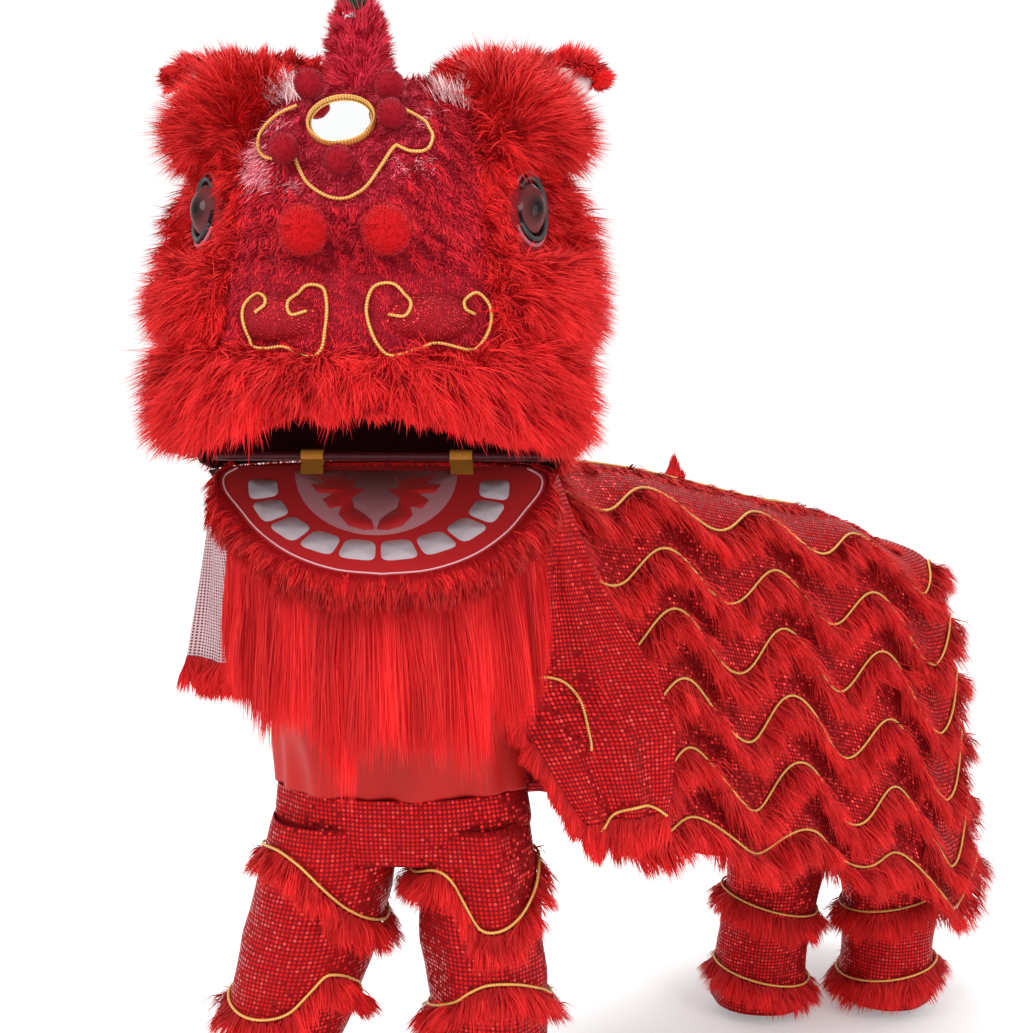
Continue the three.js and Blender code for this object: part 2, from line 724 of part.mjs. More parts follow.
// Its front edge follows the back of the head's rim, then falls to the hem behind each shoulder
const capeFrontHems = { 1: new THREE.Vector3(348, 190, -640), [-1]: new THREE.Vector3(-110, 455, -640) };
const CAPE_FRONT_BOW = 22;
const NECK_GIRTH = 0.24;
const CAPE_UNDER_RIM = 2.7;
const NECK_TURN = 104;

function capeFront(side, girth) {
  const turn = blendOf(180, NECK_TURN, Math.min(girth / NECK_GIRTH, 1));
  const onRim = headPoint(turn, RIM_SIDE);
  const point = new THREE.Vector3(side * onRim.x * 0.99, onRim.y - 2, RIM_SIDE - CAPE_UNDER_RIM);
  if (girth > NECK_GIRTH) {
    const fall = (girth - NECK_GIRTH) / (1 - NECK_GIRTH);
    point.lerp(capeFrontHems[side], fall);
    point.x += side * CAPE_FRONT_BOW * Math.sin(Math.PI * fall);
    point.y += CAPE_FRONT_BOW * Math.sin(Math.PI * fall);
  }
  return point;
}

// Way 0 is the front edge on the lion's left, 0.5 the rump, and 1 the front edge on its right
const SIDE_SHARE = 0.38;

function capeSmooth(way, girth) {
  const side = way < 0.5 ? 1 : -1;
  const mirrored = way < 0.5 ? way : 1 - way;
  const cut = readTable(capeProfile, "girth", girth, true);
  const run = Math.min(mirrored / SIDE_SHARE, 1);
  const along = blendOf(SPINE_FIRST, SPINE_LAST, run);
  const spine = readTable(spineRows, "along", along, true);
  const swell = 1 + 0.1 * smooth(run, 0.75, 1);
  const out = cut.out * swell;
  const point = bladeOf(side, along, out);
  if (mirrored > SIDE_SHARE) {
    const turn = (mirrored - SIDE_SHARE) / (0.5 - SIDE_SHARE) * Math.PI / 2;
    point.copy(SPINE_START).addScaledVector(spineWay, SPINE_LAST + out * Math.sin(turn));
    point.addScaledVector(spineSide, side * out * Math.cos(turn));
  }
  point.z = blendOf(spine.ridge, spine.hem, cut.drop);
  return point.lerp(capeFront(side, girth), 1 - smooth(run, 0, 0.24));
}

// Loose upright folds that grow toward the hem
function capePoint(way, girth) {
  const point = capeSmooth(way, girth);
  const fold = Math.sin(way * CAPE_WAVES * 2 * Math.PI * 1.5 + girth * 5) * 9 * girth * girth;
  return point.addScaledVector(capeFacing(way, girth), fold);
}

function capeFacing(way, girth) {
  const inside = THREE.MathUtils.clamp(way, 0.004, 0.996);
  return facing(capeSmooth, inside, Math.max(girth, 0.03), 0.003, 0.015).negate();
}

function waveGirth(row, way) {
  const { girth, swing, shift } = capeRows[row];
  return girth + swing * Math.sin(2 * Math.PI * (way * CAPE_WAVES + shift));
}

// The cloth's own rows of points follow the waves, so that the fringes lie along them
const capeNetRows = [
  { row: -1, girth: 0 },
  { row: -1, girth: 0.07 },
  ...capeRows.flatMap((_, row) => (row < capeRows.length - 1 ? [{ row, between: 0 }, { row, between: 0.5 }]
    : [{ row, between: 0 }])),
  { row: -1, girth: 1 },
];
const FOLD_LIFT = 14;
const foldLift = (way) => FOLD_LIFT * smooth(Math.min(way, 1 - way), 0, 0.08);

function capeNetGirth(net, way) {
  if (net.row < 0) {
    return net.girth;
  }
  const next = Math.min(net.row + 1, capeRows.length - 1);
  return blendOf(waveGirth(net.row, way), waveGirth(next, way), net.between);
}

function capeNetPoint(i, j, lift) {
  const way = i / CAPE_COLUMNS;
  const net = capeNetRows[j];
  const girth = capeNetGirth(net, way);
  const puffed = net.row >= 0 && net.between === 0 ? foldLift(way) : 0;
  const away = girth === 0 ? new THREE.Vector3(0, 0, 1) : capeFacing(way, girth);
  return capePoint(way, girth).addScaledVector(away, lift + puffed);
}

const capeSolid = (grown) => sewnSkin(
  netOf(CAPE_COLUMNS + 1, capeNetRows.length, (i, j) => capeNetPoint(i, j, grown)),
  netOf(CAPE_COLUMNS + 1, capeNetRows.length, (i, j) => capeNetPoint(i, j, -CLOTH - grown)),
  false,
  true,
);
const cape = capeSolid(0);
const capeWithSeam = capeSolid(SEAM);
add("cape", "sequin", cape);

// A fringe under each wave, in pointed locks that stand off the cloth
const FRINGE_LONG = 0.08;
const FRINGE_SHORT = 0.05;
const FRINGE_THICK = 5;
const FRINGE_OFF = 20;
const FRINGE_FIRST = 2;
const CAPE_DROP = 830;

function capeFringe(row) {
  const j = capeNetRows.findIndex((net) => net.row === row && net.between === 0);
  const locks = CAPE_COLUMNS + 1 - 2 * FRINGE_FIRST;
  const edge = (i, k, inside) => {
    const way = i / CAPE_COLUMNS;
    const top = capeNetGirth(capeNetRows[j], way);
    if (k === 0) {
      return capeNetPoint(i, j, SEAM).addScaledVector(capeFacing(way, top), inside ? 0 : FRINGE_THICK);
    }
    const girth = top + (i % 2 === 0 ? FRINGE_LONG : FRINGE_SHORT);
    const tip = capePoint(way, Math.min(girth, 1));
    tip.z -= Math.max(girth - 1, 0) * CAPE_DROP;
    return tip.addScaledVector(capeFacing(way, Math.min(girth, 1)), foldLift(way) + FRINGE_OFF);
  };
  const net = (inside) => netOf(locks, 2, (i, k) => edge(i + FRINGE_FIRST, k, inside));
  return sewnSkin(net(false), net(true));
}

capeRows.forEach((_, row) => {
  const fringe = capeFringe(row);
  add(`cape_fringe_${row + 1}`, "fur", row === 0 ? cutBy(fringe, shellWithSeam) : fringe);
});

// A glittering band along the ridge, and a small stiff fin that stands on it
const BAND_REACH = 0.7;
const BAND_THICK = 2;
const BAND_FIRST = 4;
const BAND_LAST = 12;
const FIN_COLUMN = 8;

function bandPoint(i, across, lift) {
  const column = across < 0 ? CAPE_COLUMNS - i : i;
  const point = capeNetPoint(column, 0, 0).lerp(capeNetPoint(column, 1, 0), BAND_REACH * Math.abs(across));
  point.z += lift;
  return point;
}

const bandNet = (lift) => netOf(BAND_LAST - BAND_FIRST + 1, 3, (i, j) => bandPoint(i + BAND_FIRST, j - 1, lift));
add("spine_band", "glitter", sewnSkin(bandNet(SEAM * 2 + BAND_THICK), bandNet(SEAM * 2)));

const finFoot = bandPoint(FIN_COLUMN, 0, SEAM * 2 + BAND_THICK);
const fin = new THREE.ConeGeometry(26, 62, 8);
fin.scale(1, 1, 0.35);
fin.rotateX(Math.PI / 2);
fin.rotateZ(Math.PI / 2 - SPINE_HEADING);
fin.translate(finFoot.x, finFoot.y, finFoot.z + 22);
const bandPlug = sewnSkin(bandNet(SEAM * 3 + BAND_THICK), bandNet(-30));
add("spine_fin", "fur", cutBy(fin, bandPlug, capeWithSeam));

// The front trousers: a plain satin top, then two sequin legs
const hipRows = [
  { z: -400, x: 8, y: 172, wide: 214, deep: 150 },
  { z: -500, x: 8, y: 172, wide: 221, deep: 144 },
  { z: -585, x: 10, y: 168, wide: 222, deep: 132 },
  { z: -650, x: 12, y: 162, wide: 228, deep: 126 },
  { z: -705, x: 12, y: 160, wide: 214, deep: 112 },
];
const WAIST_BOTTOM = -585;

const frontLegs = {
  right: [
    { z: -600, x: -104, y: 158, wide: 108, deep: 112 },
    { z: -720, x: -116, y: 156, wide: 122, deep: 120 },
    { z: -850, x: -149, y: 153, wide: 124, deep: 117 },
    { z: -1040, x: -203, y: 150, wide: 110, deep: 106 },
    { z: -1200, x: -240, y: 150, wide: 106, deep: 104 },
    { z: -1322, x: -266, y: 150, wide: 112, deep: 110 },
  ],
  left: [
    { z: -600, x: 122, y: 158, wide: 108, deep: 112 },
    { z: -720, x: 136, y: 156, wide: 112, deep: 118 },
    { z: -850, x: 154, y: 153, wide: 111, deep: 114 },
    { z: -1040, x: 168, y: 150, wide: 104, deep: 106 },
    { z: -1200, x: 180, y: 150, wide: 102, deep: 104 },
    { z: -1322, x: 192, y: 150, wide: 110, deep: 110 },
  ],
};

const rearHipRows = [
  { z: -400, x: 905, y: 985, wide: 196, deep: 176 },
  { z: -520, x: 927, y: 1008, wide: 226, deep: 210 },
  { z: -640, x: 922, y: 1003, wide: 218, deep: 198 },
  { z: -760, x: 900, y: 980, wide: 190, deep: 130 },
];

const rearLegs = {
  right: [
    { z: -660, x: 840, y: 972, wide: 112, deep: 116 },
    { z: -800, x: 815, y: 968, wide: 116, deep: 116 },
    { z: -1000, x: 775, y: 958, wide: 112, deep: 108 },
    { z: -1180, x: 750, y: 952, wide: 104, deep: 102 },
    { z: -1322, x: 740, y: 950, wide: 108, deep: 106 },
  ],
  left: [
    { z: -660, x: 985, y: 1000, wide: 112, deep: 116 },
    { z: -800, x: 1015, y: 996, wide: 116, deep: 116 },
    { z: -1000, x: 1042, y: 990, wide: 114, deep: 108 },
    { z: -1180, x: 1042, y: 988, wide: 106, deep: 102 },
    { z: -1322, x: 1035, y: 986, wide: 110, deep: 106 },
  ],
};

const LEG_SIDES = 10;
const OPEN_END = 40;

function legPoint(rows, i, z, lift) {
  const cut = readTable(rows, "z", z, false);
  const angle = 2 * Math.PI * i / LEG_SIDES;
  return new THREE.Vector3(
    cut.x + (cut.wide + lift) * Math.cos(angle),
    cut.y + (cut.deep + lift) * Math.sin(angle),
    z,
  );
}

// A solid tube through the rows of a table; its ends may be drawn out past the cloth
function legTube(rows, lift, drawnOut = { top: 0, bottom: 0 }) {
  const last = rows.length - 1;
  const net = netOf(LEG_SIDES, rows.length, (i, j) => {
    const point = legPoint(rows, i, rows[j].z, lift);
    if (j > 0 && j < last) {
      return point;
    }
    const inward = j === 0 ? rows[1].z : rows[last - 1].z;
    const past = j === 0 ? drawnOut.bottom : drawnOut.top;
    return point.lerp(legPoint(rows, i, inward, lift), -past / Math.abs(inward - rows[j].z));
  });
  return cappedRoll(net);
}

const upward = (rows) => [...rows].reverse();
const hipTable = upward(hipRows);
const frontTables = { left: upward(frontLegs.left), right: upward(frontLegs.right) };
const rearHipTable = upward(rearHipRows);
const rearTables = { left: upward(rearLegs.left), right: upward(rearLegs.right) };

function trousers(hips, legs, isFront) {
  const openTop = { top: OPEN_END, bottom: 0 };
  const openFoot = { top: 0, bottom: OPEN_END };
  const outer = joined(legTube(hips, 0), legTube(legs.left, 0), legTube(legs.right, 0));
  const inner = joined(
    legTube(hips, -CLOTH, openTop), legTube(legs.left, -CLOTH, openFoot), legTube(legs.right, -CLOTH, openFoot),
  );
  if (isFront) {
    return cutBy(outer, inner);
  }
  return cutBy(cutBy(outer, capeWithSeam), cutBy(inner, capeSolid(SEAM + CLOTH)));
}

const waistTable = hipTable.filter(({ z }) => z > WAIST_BOTTOM - 1);
const seatTable = hipTable.filter(({ z }) => z < WAIST_BOTTOM + 1)
  .map((row) => (row.z === WAIST_BOTTOM ? { ...row, z: WAIST_BOTTOM - SEAM } : row));
const openBoth = { top: OPEN_END, bottom: OPEN_END };
add("front_waist", "satin", cutBy(legTube(waistTable, 0), legTube(waistTable, -CLOTH, openBoth)));
add("front_trousers", "sequin", trousers(seatTable, frontTables, true));
add("rear_trousers", "sequin", trousers(rearHipTable, rearTables, false));

// Fringes round the legs, each on its own wave
const frontRings = [{ z: -762, swing: 52 }, { z: -965, swing: 40 }, { z: -1165, swing: 34 }];
const rearRings = [{ z: -1085, swing: 26 }, { z: -1250, swing: 20 }];
const LEG_FRINGE_LONG = 74;
const LEG_FRINGE_SHORT = 50;
const LEG_FRINGE_SEAM = 0.7;
const LEG_FRINGE_OFF = 16;

function legFringe(table, { z, swing }, inward, others) {
  const net = (outside) => netOf(LEG_SIDES, 2, (i, j) => {
    const angle = 2 * Math.PI * i / LEG_SIDES;
    const height = z - swing * Math.cos(angle) * inward;
    const lock = i % 2 === 0 ? LEG_FRINGE_LONG : LEG_FRINGE_SHORT;
    if (j === 0) {
      return legPoint(table, i, height, LEG_FRINGE_SEAM + (outside ? FRINGE_THICK : 0));
    }
    return legPoint(table, i, height - lock, LEG_FRINGE_OFF + (outside ? 2 : 0));
  });
  const fringe = sewnSkin(net(true), net(false), true);
  return others.length > 0 ? cutBy(fringe, legTube(table, SEAM), ...others) : fringe;
}

const hipPlug = legTube(seatTable, SEAM);
for (const [suffix, inward] of [["left", -1], ["right", 1]]) {
  const otherLeg = legTube(suffix === "left" ? frontTables.right : frontTables.left, SEAM);
  frontRings.forEach((ring, i) => {
    const fringe = legFringe(frontTables[suffix], ring, inward, i === 0 ? [hipPlug, otherLeg] : []);
    add(`front_leg_fringe_${suffix}_${i + 1}`, "fur", fringe);
  });
  rearRings.forEach((ring, i) => {
    const fringe = legFringe(rearTables[suffix], ring, inward, i === 0 ? [capeWithSeam] : []);
    add(`rear_leg_fringe_${suffix}_${i + 1}`, "fur", fringe);
  });
}

// The two shoulder wings: a cut at each height, from its inner edge to its outer edge
const WING_TOP = RIM_SIDE - SEAM;
const leftWing = [
  { z: WING_TOP, innerX: 283, innerY: 6, outerX: 279, outerY: 62 },
  { z: -120, innerX: 255, innerY: 26, outerX: 315, outerY: 90 },
  { z: -230, innerX: 226, innerY: 40, outerX: 358, outerY: 112 },
  { z: -340, innerX: 204, innerY: 52, outerX: 424, outerY: 146 },
  { z: -410, innerX: 190, innerY: 104, outerX: 462, outerY: 158 },
  { z: -500, innerX: 244, innerY: 60, outerX: 492, outerY: 168 },
  { z: -600, innerX: 302, innerY: 72, outerX: 486, outerY: 162 },
  { z: -655, innerX: 340, innerY: 88, outerX: 474, outerY: 156 },
];
const rightWing = [
  { z: WING_TOP, innerX: -283, innerY: 6, outerX: -279, outerY: 62 },
  { z: -120, innerX: -250, innerY: 40, outerX: -314, outerY: 120 },
  { z: -230, innerX: -214, innerY: 62, outerX: -344, outerY: 176 },
  { z: -330, innerX: -188, innerY: 80, outerX: -370, outerY: 214 },
  { z: -395, innerX: -180, innerY: 92, outerX: -386, outerY: 232 },
];
const WING_COLUMNS = 7;
const WING_FOLD = 10;

function wingPoint(rows, share, z, lift) {
  const cut = readTable(rows, "z", z, false);
  const top = rows[rows.length - 1].z;
  const foot = rows[0].z;
  const inner = new THREE.Vector3(cut.innerX, cut.innerY, z);
  const outer = new THREE.Vector3(cut.outerX, cut.outerY, z);
  const across = outer.clone().sub(inner);
  const front = new THREE.Vector3(across.y, -across.x, 0).normalize();
  const toward = front.y > 0 ? front.negate() : front;
  const fall = (top - z) / (top - foot);
  const fold = WING_FOLD * fall * Math.sin(share * Math.PI * 4) * Math.sin(Math.PI * share);
  return inner.addScaledVector(across, share).addScaledVector(toward, fold + lift);
}

function wingNet(rows, lift) {
  return netOf(WING_COLUMNS, rows.length, (i, j) => wingPoint(rows, i / (WING_COLUMNS - 1), rows[j].z, lift));
}

function wingFringe(rows) {
  const path = [];
  const steps = WING_COLUMNS - 1;
  rows.forEach(({ z, innerX }) => {
    if (z < -411 && z > rows[0].z) {
      path.push({ share: 0, z, innerX });
    }
  });
  path.reverse();
  for (let i = 0; i <= steps; i += 1) {
    path.push({ share: i / steps, z: rows[0].z });
  }
  const net = (front) => netOf(path.length, 2, (i, j) => {
    const { share, z } = path[i];
    const point = wingPoint(rows, share, z, front ? 3 : 0);
    point.z -= SEAM;
    point.x -= share === 0 && z > rows[0].z ? SEAM * 2 : 0;
    if (j === 1) {
      point.z -= i % 2 === 0 ? 66 : 44;
      point.x -= share === 0 ? 14 : 0;
    }
    return point;
  });
  return sewnSkin(net(true), net(false));
}

const waistPlug = joined(legTube(hipTable, SEAM), legTube(frontTables.left, SEAM));
for (const [rows, suffix] of [[upward(leftWing), "left"], [upward(rightWing), "right"]]) {
  const wing = cutBy(sewnSkin(wingNet(rows, 0), wingNet(rows, -CLOTH)), waistPlug, shellWithSeam);
  add(`wing_${suffix}`, "sequin", wing);
  const fringe = wingFringe(rows);
  add(`wing_fringe_${suffix}`, "fur", cutBy(fringe, sewnSkin(wingNet(rows, SEAM), wingNet(rows, -CLOTH - SEAM))));
}

export default costume;
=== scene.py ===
"""A red two-person lion dance costume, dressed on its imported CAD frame.

Sizes in the tables are millimetres, as in the part's source; meshes are written in metres.
"""
import math
import bpy
import numpy as np
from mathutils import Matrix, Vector
from mathutils.geometry import tessellate_polygon


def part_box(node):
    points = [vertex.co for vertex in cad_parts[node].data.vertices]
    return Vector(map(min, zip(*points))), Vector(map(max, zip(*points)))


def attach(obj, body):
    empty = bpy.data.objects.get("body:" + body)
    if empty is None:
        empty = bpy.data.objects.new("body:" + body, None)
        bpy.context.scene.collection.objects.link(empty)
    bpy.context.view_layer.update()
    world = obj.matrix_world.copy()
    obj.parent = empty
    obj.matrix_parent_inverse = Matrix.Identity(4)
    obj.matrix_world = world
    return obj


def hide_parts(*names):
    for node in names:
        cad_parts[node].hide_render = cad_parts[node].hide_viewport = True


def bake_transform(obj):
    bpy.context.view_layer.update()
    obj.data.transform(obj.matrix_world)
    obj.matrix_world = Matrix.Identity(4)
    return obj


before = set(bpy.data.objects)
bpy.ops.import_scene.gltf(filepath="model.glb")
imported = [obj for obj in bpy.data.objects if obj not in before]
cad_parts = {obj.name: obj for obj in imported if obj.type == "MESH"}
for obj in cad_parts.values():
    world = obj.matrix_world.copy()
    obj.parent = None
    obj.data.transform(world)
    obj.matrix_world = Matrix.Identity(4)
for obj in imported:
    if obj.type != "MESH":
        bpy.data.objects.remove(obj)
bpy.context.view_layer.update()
COSTUME = "costume"
JAW = "jaw"
SIDES = ((1, "left"), (-1, "right"))
UP = np.array([0.0, 0.0, 1.0])
MM = 0.001
FLOOR_Z = -1.351
CORD_RADIUS = 2.6


# Camera, floor and light

def set_camera():
    data = bpy.data.cameras.new("camera")
    data.sensor_fit = "HORIZONTAL"
    data.sensor_width = 36
    data.lens = 54.23
    data.clip_end = 60
    camera = bpy.data.objects.new("camera", data)
    camera.location = (0.3047, -2.4814, 0.2015)
    camera.rotation_euler = (math.radians(90 - 6.861), 0, math.radians(2.1))
    bpy.context.scene.collection.objects.link(camera)
    bpy.context.scene.camera = camera


def set_stage():
    mesh = bpy.data.meshes.new("floor")
    half = 40
    corners = [(x * half, y * half, FLOOR_Z) for x, y in ((-1, -1), (1, -1), (1, 1), (-1, 1))]
    mesh.from_pydata(corners, [], [(0, 1, 2, 3)])
    floor = bpy.data.objects.new("floor", mesh)
    bpy.context.scene.collection.objects.link(floor)
    mesh.materials.append(plain("floor", (0.88, 0.88, 0.88), 0.95, specular=0.0, glow=0.22))
    bpy.context.scene.view_settings.view_transform = "Standard"
    world = bpy.data.worlds.new("studio")
    world.use_nodes = True
    world.node_tree.nodes["Background"].inputs["Color"].default_value = (1, 1, 1, 1)
    world.node_tree.nodes["Background"].inputs["Strength"].default_value = 1.03
    bpy.context.scene.world = world
    for name, place, size, power, aim in (
        ("key", (-2.4, -3.6, 3.6), 2.4, 150, (0.1, 0.1, 0.1)),
        ("fill", (3.4, -3.0, 1.6), 2.6, 60, (0.3, 0.3, -0.2)),
        ("top", (0.6, 1.6, 3.6), 2.4, 70, (0.4, 0.4, 0)),
    ):
        data = bpy.data.lights.new(name, "AREA")
        data.shape = "DISK"
        data.size = size
        data.energy = power
        lamp = bpy.data.objects.new(name, data)
        lamp.location = place
        lamp.rotation_euler = (Vector(aim) - Vector(place)).to_track_quat("-Z", "Y").to_euler()
        bpy.context.scene.collection.objects.link(lamp)


# Materials

class Shader:
    """A material's nodes, with short ways to add and join them."""

    def __init__(self, name):
        self.material = bpy.data.materials.new(name)
        self.material.use_nodes = True
        self.nodes = self.material.node_tree.nodes
        self.links = self.material.node_tree.links

    def feed(self, made, values):
        """Sets a node's inputs, or links them where a value is another node's output."""
        for slot, value in values.items():
            if isinstance(value, bpy.types.NodeSocket):
                self.links.new(value, made.inputs[slot])
            else:
                made.inputs[slot].default_value = value
        return made

    def finish(self, values):
        self.feed(self.nodes["Principled BSDF"], values)
        return self.material

    def node(self, kind, values=None, **settings):
        made = self.nodes.new(kind)
        for key, value in settings.items():
            setattr(made, key, value)
        return self.feed(made, values or {})

    def maths(self, operation, *terms):
        return self.node("ShaderNodeMath", dict(enumerate(terms)), operation=operation).outputs[0]

    def mixed(self, share, low, high):
        ends = [(*end, 1) if isinstance(end, tuple) else end for end in (low, high)]
        return self.node("ShaderNodeMix", {0: share, 6: ends[0], 7: ends[1]}, data_type="RGBA").outputs[2]

    def noise(self, scale, detail):
        place = self.node("ShaderNodeTexCoord").outputs["Object"]
        return self.node("ShaderNodeTexNoise", {"Scale": scale, "Detail": detail, "Vector": place}).outputs["Fac"]

    def bump(self, height, strength, distance):
        values = {"Strength": strength, "Distance": distance, "Height": height}
        return self.node("ShaderNodeBump", values).outputs["Normal"]

    def cloth_place(self):
        """The place on the cloth, in metres along it and down it."""
        uv = self.node("ShaderNodeUVMap", uv_map="UVMap").outputs["UV"]
        return self.node("ShaderNodeSeparateXYZ", {0: uv}).outputs


def plain(name, colour, roughness, specular=0.5, metallic=0.0, glow=0.0):
    return Shader(name).finish({"Base Color": (*colour, 1), "Roughness": roughness, "Metallic": metallic,
                                "Specular IOR Level": specular, "Emission Color": (1, 1, 1, 1),
                                "Emission Strength": glow})


def hair_material(name, roughness=0.6, sheen=0.08, tint=(1.0, 0.35, 0.3)):
    """Fur, whose colour comes with each strand; it also glows faintly in that colour, a painted glow standing in for
    light through the strands.
    """
    shader = Shader(name)
    tone = shader.node("ShaderNodeVertexColor", layer_name="tone").outputs["Color"]
    # Emission in the strand colour is a painted glow, not a lamp; fur, plush and eye paint all carry it.
    return shader.finish({"Base Color": tone, "Emission Color": tone, "Emission Strength": 0.16,
                          "Roughness": roughness, "Specular IOR Level": 0.12, "Sheen Weight": sheen,
                          "Sheen Roughness": 0.5, "Sheen Tint": (*tint, 1)})


def sequin_material(name, cloth, disc, pitch=0.008, radius=0.0027, painted_glint_share=0.9):
    """Cloth with rows of small round sequins, each tilted its own way; a few sequins at random are painted much
    brighter, as painted glints.
    """
    shader = Shader(name)
    maths, mixed = shader.maths, shader.mixed
    place = shader.cloth_place()
    scaled = [maths("DIVIDE", place[axis], pitch) for axis in (0, 1)]
    offsets = [maths("SUBTRACT", maths("FRACT", x), 0.5) for x in scaled]
    distance = maths("SQRT", maths("ADD", *(maths("MULTIPLY", x, x) for x in offsets)))
    inside = maths("LESS_THAN", distance, radius / pitch)
    cell = shader.node("ShaderNodeCombineXYZ", {k: maths("FLOOR", x) for k, x in enumerate(scaled)})
    random = shader.node("ShaderNodeTexWhiteNoise", {"Vector": cell.outputs[0]}, noise_dimensions="3D").outputs
    ground = mixed(shader.noise(9.0, 3.0), tuple(c * 0.62 for c in cloth), cloth)
    # A few sequins at random get a much brighter base colour: painted glints.
    painted_glint = mixed(maths("MULTIPLY", maths("POWER", random["Value"], 7.0), painted_glint_share), disc,
                  (min(1, disc[0] * 1.9), disc[1] * 3 + 0.05, disc[2] * 3 + 0.04))
    level = (0.5, 0.5, 1.0)
    lean = mixed(inside, level, mixed(0.5, level, random["Color"]))
    tilt = shader.node("ShaderNodeNormalMap", {"Strength": 0.55, "Color": lean}, space="TANGENT", uv_map="UVMap")
    return shader.finish({"Base Color": mixed(inside, ground, painted_glint), "Metallic": maths("MULTIPLY", inside, 0.8),
                          "Roughness": maths("SUBTRACT", 0.75, maths("MULTIPLY", inside, 0.45)),
                          "Normal": tilt.outputs["Normal"], "Specular IOR Level": 0.12})


def cloth_material(name, colour, roughness=0.55, sheen=0.4, scale=900, grain=0.25):
    """Plain woven or satin cloth with fine grain and broad colour variation."""
    shader = Shader(name)
    tone = shader.mixed(shader.noise(7.0, 4.0), tuple(c * 0.72 for c in colour), colour)
    return shader.finish({"Base Color": tone, "Roughness": roughness, "Sheen Weight": sheen,
                          "Sheen Tint": (1.0, 0.25, 0.2, 1), "Specular IOR Level": 0.25,
                          "Normal": shader.bump(shader.noise(scale, 1.0), grain, 0.0006)})


def shell_material():
    """Lacquered cloth: red outside; inside the head a near-black maroon, which is painted shade."""
    shader = Shader("shell_cloth")
    geometry = shader.node("ShaderNodeNewGeometry").outputs
    out = shader.node("ShaderNodeVectorMath", {0: geometry["Position"], 1: (1, 1, 0.3)}, operation="MULTIPLY")
    toward = shader.node("ShaderNodeVectorMath", {0: out.outputs[0], 1: geometry["True Normal"]},
                         operation="DOT_PRODUCT").outputs["Value"]
    wear = shader.noise(12.0, 4.0)
    outer = shader.mixed(wear, (0.26, 0.003, 0.006), (0.40, 0.005, 0.009))
    # The inside of the head is painted near-black: painted shade.
    inner = shader.mixed(wear, (0.020, 0.002, 0.003), (0.045, 0.005, 0.006))
    tone = shader.mixed(shader.maths("GREATER_THAN", toward, 0.02), inner, outer)
    return shader.finish({"Base Color": tone, "Roughness": 0.85, "Specular IOR Level": 0.1,
                          "Normal": shader.bump(shader.noise(500.0, 1.0), 0.3, 0.0006)})


def cord_material(name, colour):
    """Twisted metallic cord, darker in the grooves of its twist: painted shade."""
    shader = Shader(name)
    place = shader.cloth_place()
    turns = shader.maths("ADD", shader.maths("MULTIPLY", place[0], 1400.0),
                         shader.maths("MULTIPLY", place[1], 6.2832))
    wave = shader.maths("SINE", turns)
    share = shader.maths("MULTIPLY_ADD", wave, 0.5, 0.5)
    # The base colour falls to 0.6 of the gold in the grooves of the twist: painted shade.
    return shader.finish({"Base Color": shader.mixed(share, tuple(c * 0.6 for c in colour), colour),
                          "Roughness": 0.42, "Metallic": 0.35, "Normal": shader.bump(wave, 0.5, 0.0008)})


# Fur colours, each as its hollows, its body and its brightest strands. The hollows colour is painted shade: each
# strand darkens towards it at the root, and the undercoats beneath the fur are about as dark.

RED_FUR = ((0.24, 0.001, 0.003), (0.68, 0.006, 0.010), (0.90, 0.034, 0.032))
TRIM_FUR = ((0.16, 0.001, 0.002), (0.52, 0.005, 0.007), (0.80, 0.024, 0.022))
FACE_FUR = ((0.22, 0.001, 0.005), (0.56, 0.006, 0.016), (0.80, 0.030, 0.050))
CRIMSON = ((0.22, 0.003, 0.012), (0.54, 0.010, 0.034), (0.82, 0.065, 0.110))
PINK = ((0.40, 0.06, 0.10), (0.78, 0.20, 0.26), (0.95, 0.48, 0.52))
WHITE = ((0.35, 0.33, 0.33), (0.75, 0.72, 0.72), (0.9, 0.88, 0.88))
DEEP_RED = ((0.30, 0.001, 0.003), (0.55, 0.003, 0.006), (0.70, 0.008, 0.012))
VELVET = ((0.15, 0.001, 0.005), (0.32, 0.003, 0.012), (0.48, 0.010, 0.026))
PALE_PINK = ((0.55, 0.25, 0.28), (0.85, 0.55, 0.56), (0.95, 0.8, 0.8))
HORN_FUR = ((0.28, 0.003, 0.014), (0.62, 0.010, 0.034), (0.86, 0.050, 0.090))
GREEN = ((0.002, 0.012, 0.008), (0.006, 0.05, 0.03), (0.02, 0.12, 0.07))


# The part's own surfaces, repeated here so that fur and cloth lie on them

def table(rows, x, curved=True):
    """Reads a table at x; the first column is the key. Gives one array per remaining column."""
    rows = np.asarray(rows, float)
    keys = rows[:, 0]
    x = np.asarray(x, float)
    last = len(keys) - 1
    i = np.clip(np.searchsorted(keys, x, side="left") - 1, 0, last - 1)
    low, high = rows[i], rows[i + 1]
    span = high[..., 0] - low[..., 0]
    share = np.clip((x - low[..., 0]) / span, 0, 1)
    if not curved:
        return [low[..., k] + (high[..., k] - low[..., k]) * share for k in range(1, rows.shape[1])]
    before, after = rows[np.maximum(i - 1, 0)], rows[np.minimum(i + 2, last)]
    cube = share * share * (3 - 2 * share)
    leave = share * (1 - share) ** 2 * span
    reach = share * share * (1 - share) * span
    out = []
    for k in range(1, rows.shape[1]):
        slope_low = (high[..., k] - before[..., k]) / (high[..., 0] - before[..., 0])
        slope_high = (after[..., k] - low[..., k]) / (after[..., 0] - low[..., 0])
        out.append(low[..., k] + (high[..., k] - low[..., k]) * cube + leave * slope_low - reach * slope_high)
    return out


def smooth(x, low, high):
    t = np.clip((np.asarray(x, float) - low) / (high - low), 0, 1)
    return t * t * (3 - 2 * t)


def blend(a, b, t):
    return a + (b - a) * t


